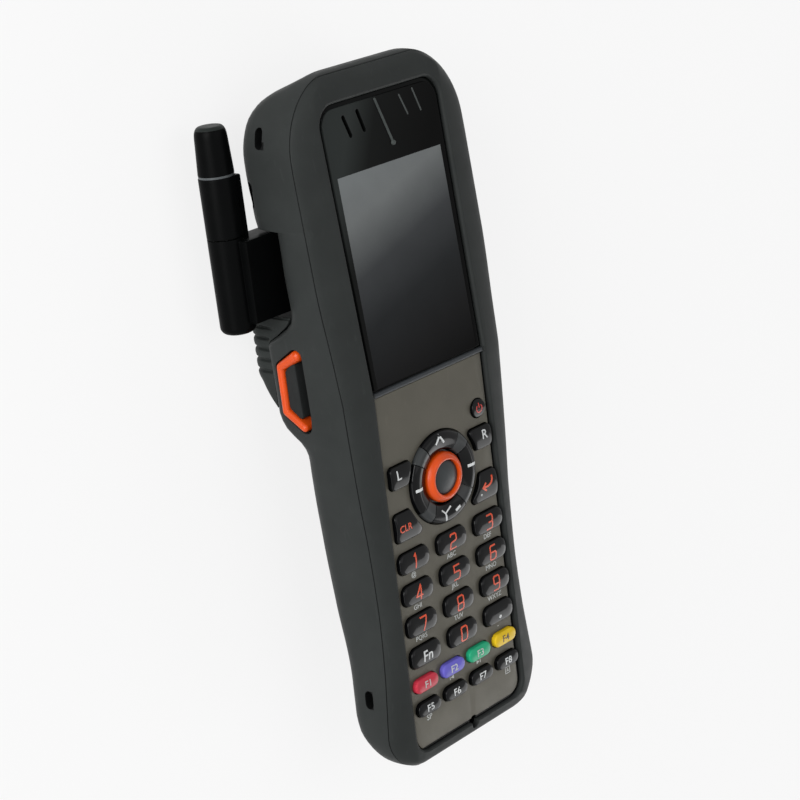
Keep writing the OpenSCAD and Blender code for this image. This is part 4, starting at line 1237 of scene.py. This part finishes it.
def antenna_body():
    """Module across the back, bridge and barrel in one, with a thin slit in the barrel."""
    barrel = lathe(soft_rod(ROD_R, ROD_Y, 2.0, 0.25), on_barrel)
    module = soft_prism(hull2(circle((27, -25), 4, 48) + circle((-35, -25), 4, 48)
                              + [(ROD_X, -27.5), (ROD_X, -19.7), (31, -19.7)]),
                        UNIT_Y, 58.8, 0.8, along)
    bridge = soft_prism(hull2([(ROD_X, -30.6), (-38, -30.6), (-36.6, -29.6), (-36, -28),
                               (-36, -24.6), (-36.6, -24), (ROD_X, -24)]),
                        UNIT_Y, 75.5, 0.6, along)
    body = boolean(boolean(barrel, module, "UNION"), bridge, "UNION")
    return cut(body, prism(circle((0, 0), ROD_R + 0.4, 72), 59.5, 59.8, on_barrel))


def antenna_end():
    """The tapered tip, with a rounded and greyer end."""
    tip = lathe([(0, TIP_Y[0]), (4.7, TIP_Y[0]), (4.8, 76.6), (4.72, 78.5), (4.55, 81.9),
                 (4.36, 86), (4.28, 87), (4.15, 87.7), (3.9, 88.35), (3.6, 88.8), (3.3, 89.05),
                 (3.1, 89.15), (2.9, TIP_Y[1]), (1.5, TIP_Y[1]), (0, TIP_Y[1])], on_barrel)
    return two_tone(tip, [MATS["antenna"], TIP_END], lambda x, y, z: y > TIP_Y[1] - 0.8)


BAND = [(0, ROD_Y[1]), (4.75, ROD_Y[1]), (4.75, TIP_Y[0]), (0, TIP_Y[0])]
finish_piece(antenna_body(), "antenna_body", "case", "antenna", ["antenna_base"])
finish_piece(lathe(BAND, on_barrel), "antenna_light_band", "case", "band", ["antenna_band"])
finish_piece(antenna_end(), "antenna_end", "case", "antenna", ["antenna_tip"])

# ---------------------------------------------------------------- ribbed grip

GRIP_W, GRIP_R = 31.2, 6.5          # half width, and radius of the hump's long edges
RIBS = (18.5, 21.7, 24.8, 27.9, 31.0)
GROOVE_HALF = 0.4                   # from a rib's place to the middle of its groove
# The hump's height along the length, and a groove's depth by the distance from its middle.
grip_low = smooth([[8.8, 28.15], [9.6, 29.4], [11, 31.7], [12.6, 33.8], [14.5, 35.8],
                   [16.3, 37.2], [17.5, 37.8], [18.6, 38], [33, 38], [34.3, 37.4], [34.9, 36]])
groove_cut = smooth([[0, 1.15], [0.2, 1.1], [0.42, 0.62], [0.6, 0.2], [0.8, 0.08], [1.55, 0],
                     [9, 0]])


def grip():
    """Lofted along the device; the flanks and shoulders sink at each groove."""
    near = [0, 0.1, 0.2, 0.3, 0.38, 0.42, 0.5, 0.6, 0.8, 1.3]
    ends = [8.85, 9.2, 9.6, 10, 10.4, *np.arange(11, 17, 0.5), 17, 17.3, 17.8, 33, 33.5, 33.9,
            34.3, 34.5, 34.7, 34.85]
    grooves = [r + GROOVE_HALF + s * d for r in RIBS for d in near for s in (-1, 1)]
    rings = []
    for y in sorted(set(round(y, 3) for y in ends + grooves)):
        depth_here = max(groove_cut(abs(y - r - GROOVE_HALF)) for r in RIBS)
        low, top = grip_low(y), depth(y) + 0.05
        w = GRIP_W - (0.5 if y > 34.4 else 0)
        r = min(GRIP_R, 0.75 * max(low - top, 0.04))
        half = [(x, -low) for x in (0, 8, 14.6)]
        half += [(x, -low + depth_here * k) for x, k in ((15.2, 0.3), (15.8, 0.9), (16.5, 1))]
        half += [(w - r - 2, -low + depth_here)]
        inner = max(r - depth_here, 0.02)
        half += [(w - r + inner * math.sin(a), -low + r - inner * math.cos(a))
                 for a in quarter(8)]
        for t in (0.3, 0.6, 0.8, 0.9, 1.0):
            z = -low + r + (low - r - top) * t
            half.append((w - depth_here * min(1, max(0, (-28.2 - z) / 0.6)), z))
        rings.append([(x, y, z) for x, z in half] + [(-x, y, z) for x, z in half[:0:-1]])
    return skin(rings)


finish_piece(grip(), "ribbed_grip", "case", "grip", ["rear_grip"])

# ---------------------------------------------------------------- camera and light

# The camera as solved from the photograph: its axes, its place in the bench frame and its lens.
RIGHT = Vector((0.66798, -0.11944, 0.73453))
UP = Vector((0.30281, 0.94525, -0.12167))
BACK = Vector((-0.67978, 0.30370, 0.66758))
CAMERA_AT, LENS = (-413.5, 187.8, 393.7), 98.58
AIM = P(0, 0, -10)                  # where the lamps point
FLOOR_HALF, FLOOR_Z = 4, -0.0002    # in metres, just under the object
FLOOR_GREY, FLOOR_GLOW, ROOM_LIGHT = 0.86, 0.8, 0.35


def camera():
    data = bpy.data.cameras.new("camera")
    data.lens, data.sensor_width = LENS, 36.0
    data.clip_start, data.clip_end = 0.01, 50
    o = in_scene("camera", data)
    axes = Matrix((RIGHT, UP, BACK)).transposed().to_4x4()
    o.matrix_world = Matrix.Translation(P(*CAMERA_AT)) @ axes
    return o


def lamp(name, where, size, power):
    """A soft box that faces the object and that the camera doesn't see."""
    data = bpy.data.lights.new(name, "AREA")
    data.shape = "RECTANGLE"
    data.size, data.size_y = size
    data.energy = power
    o = in_scene(name, data)
    o.location = where
    o.rotation_euler = (AIM - Vector(where)).to_track_quat("-Z", "Y").to_euler()
    o.visible_camera = False


def background_rays(tree):
    """1 for the rays that see the background: from the camera, a gloss or a clear piece."""
    path = add_node(tree, "LightPath", {}).outputs
    seen = path["Is Camera Ray"]
    for name in ("Is Glossy Ray", "Is Transmission Ray"):
        inputs = {0: seen, 1: path[name]}
        seen = add_node(tree, "Math", inputs, operation="MAXIMUM").outputs["Value"]
    return seen


def show(tree, fac, plain, seen, output):
    """Makes the output the shader plain, and the shader seen where fac is 1."""
    mixed = add_node(tree, "MixShader", {"Fac": fac, 1: plain, 2: seen}).outputs["Shader"]
    feed(tree, tree.nodes[output], {"Surface": mixed})


WHITE = {"Color": (1, 1, 1, 1), "Strength": 1.0}


def studio():
    """A white room, dimmer as a light than as a background."""
    world = bpy.data.worlds.new("studio")
    bpy.context.scene.world = world
    world.use_nodes = True
    tree = world.node_tree
    room = tree.nodes["Background"]
    feed(tree, room, {**WHITE, "Strength": ROOM_LIGHT})
    white = add_node(tree, "Background", WHITE)
    show(tree, background_rays(tree), room.outputs[0], white.outputs[0], "World Output")


def paper_floor():
    """A pale floor that keeps the object's shadow, and looks nearly white."""
    h = FLOOR_HALF
    mesh = bpy.data.meshes.new("floor")
    mesh.from_pydata([(-h, -h, 0), (h, -h, 0), (h, h, 0), (-h, h, 0)], [], [(0, 1, 2, 3)])
    floor = in_scene("floor", mesh)
    floor.location.z = FLOOR_Z
    paper = bpy.data.materials.new("floor_paper")
    paper.use_nodes = True
    tree = paper.node_tree
    base = tree.nodes["Principled BSDF"]
    feed(tree, base, {"Base Color": (FLOOR_GREY, FLOOR_GREY, FLOOR_GREY, 1), "Roughness": 0.9})
    part = add_node(tree, "Math", {0: background_rays(tree), 1: FLOOR_GLOW},
                    operation="MULTIPLY").outputs["Value"]
    glow = add_node(tree, "Emission", WHITE).outputs[0]
    show(tree, part, base.outputs[0], glow, "Material Output")
    mesh.materials.append(paper)


bpy.context.scene.camera = camera()
lamp("key", (-1.2, 0.46, 0.42), (0.9, 0.9), 17)
lamp("fill", (0.1, 0.3, 1.2), (1.2, 0.8), 2.4)
lamp("side", (-1.2, -0.5, 0.35), (0.9, 0.5), 2.4)
lamp("low_right", (0.95, -0.74, 0.506), (0.58, 0.76), 3.7)
studio()
paper_floor()

bpy.context.scene.view_settings.view_transform = "Standard"
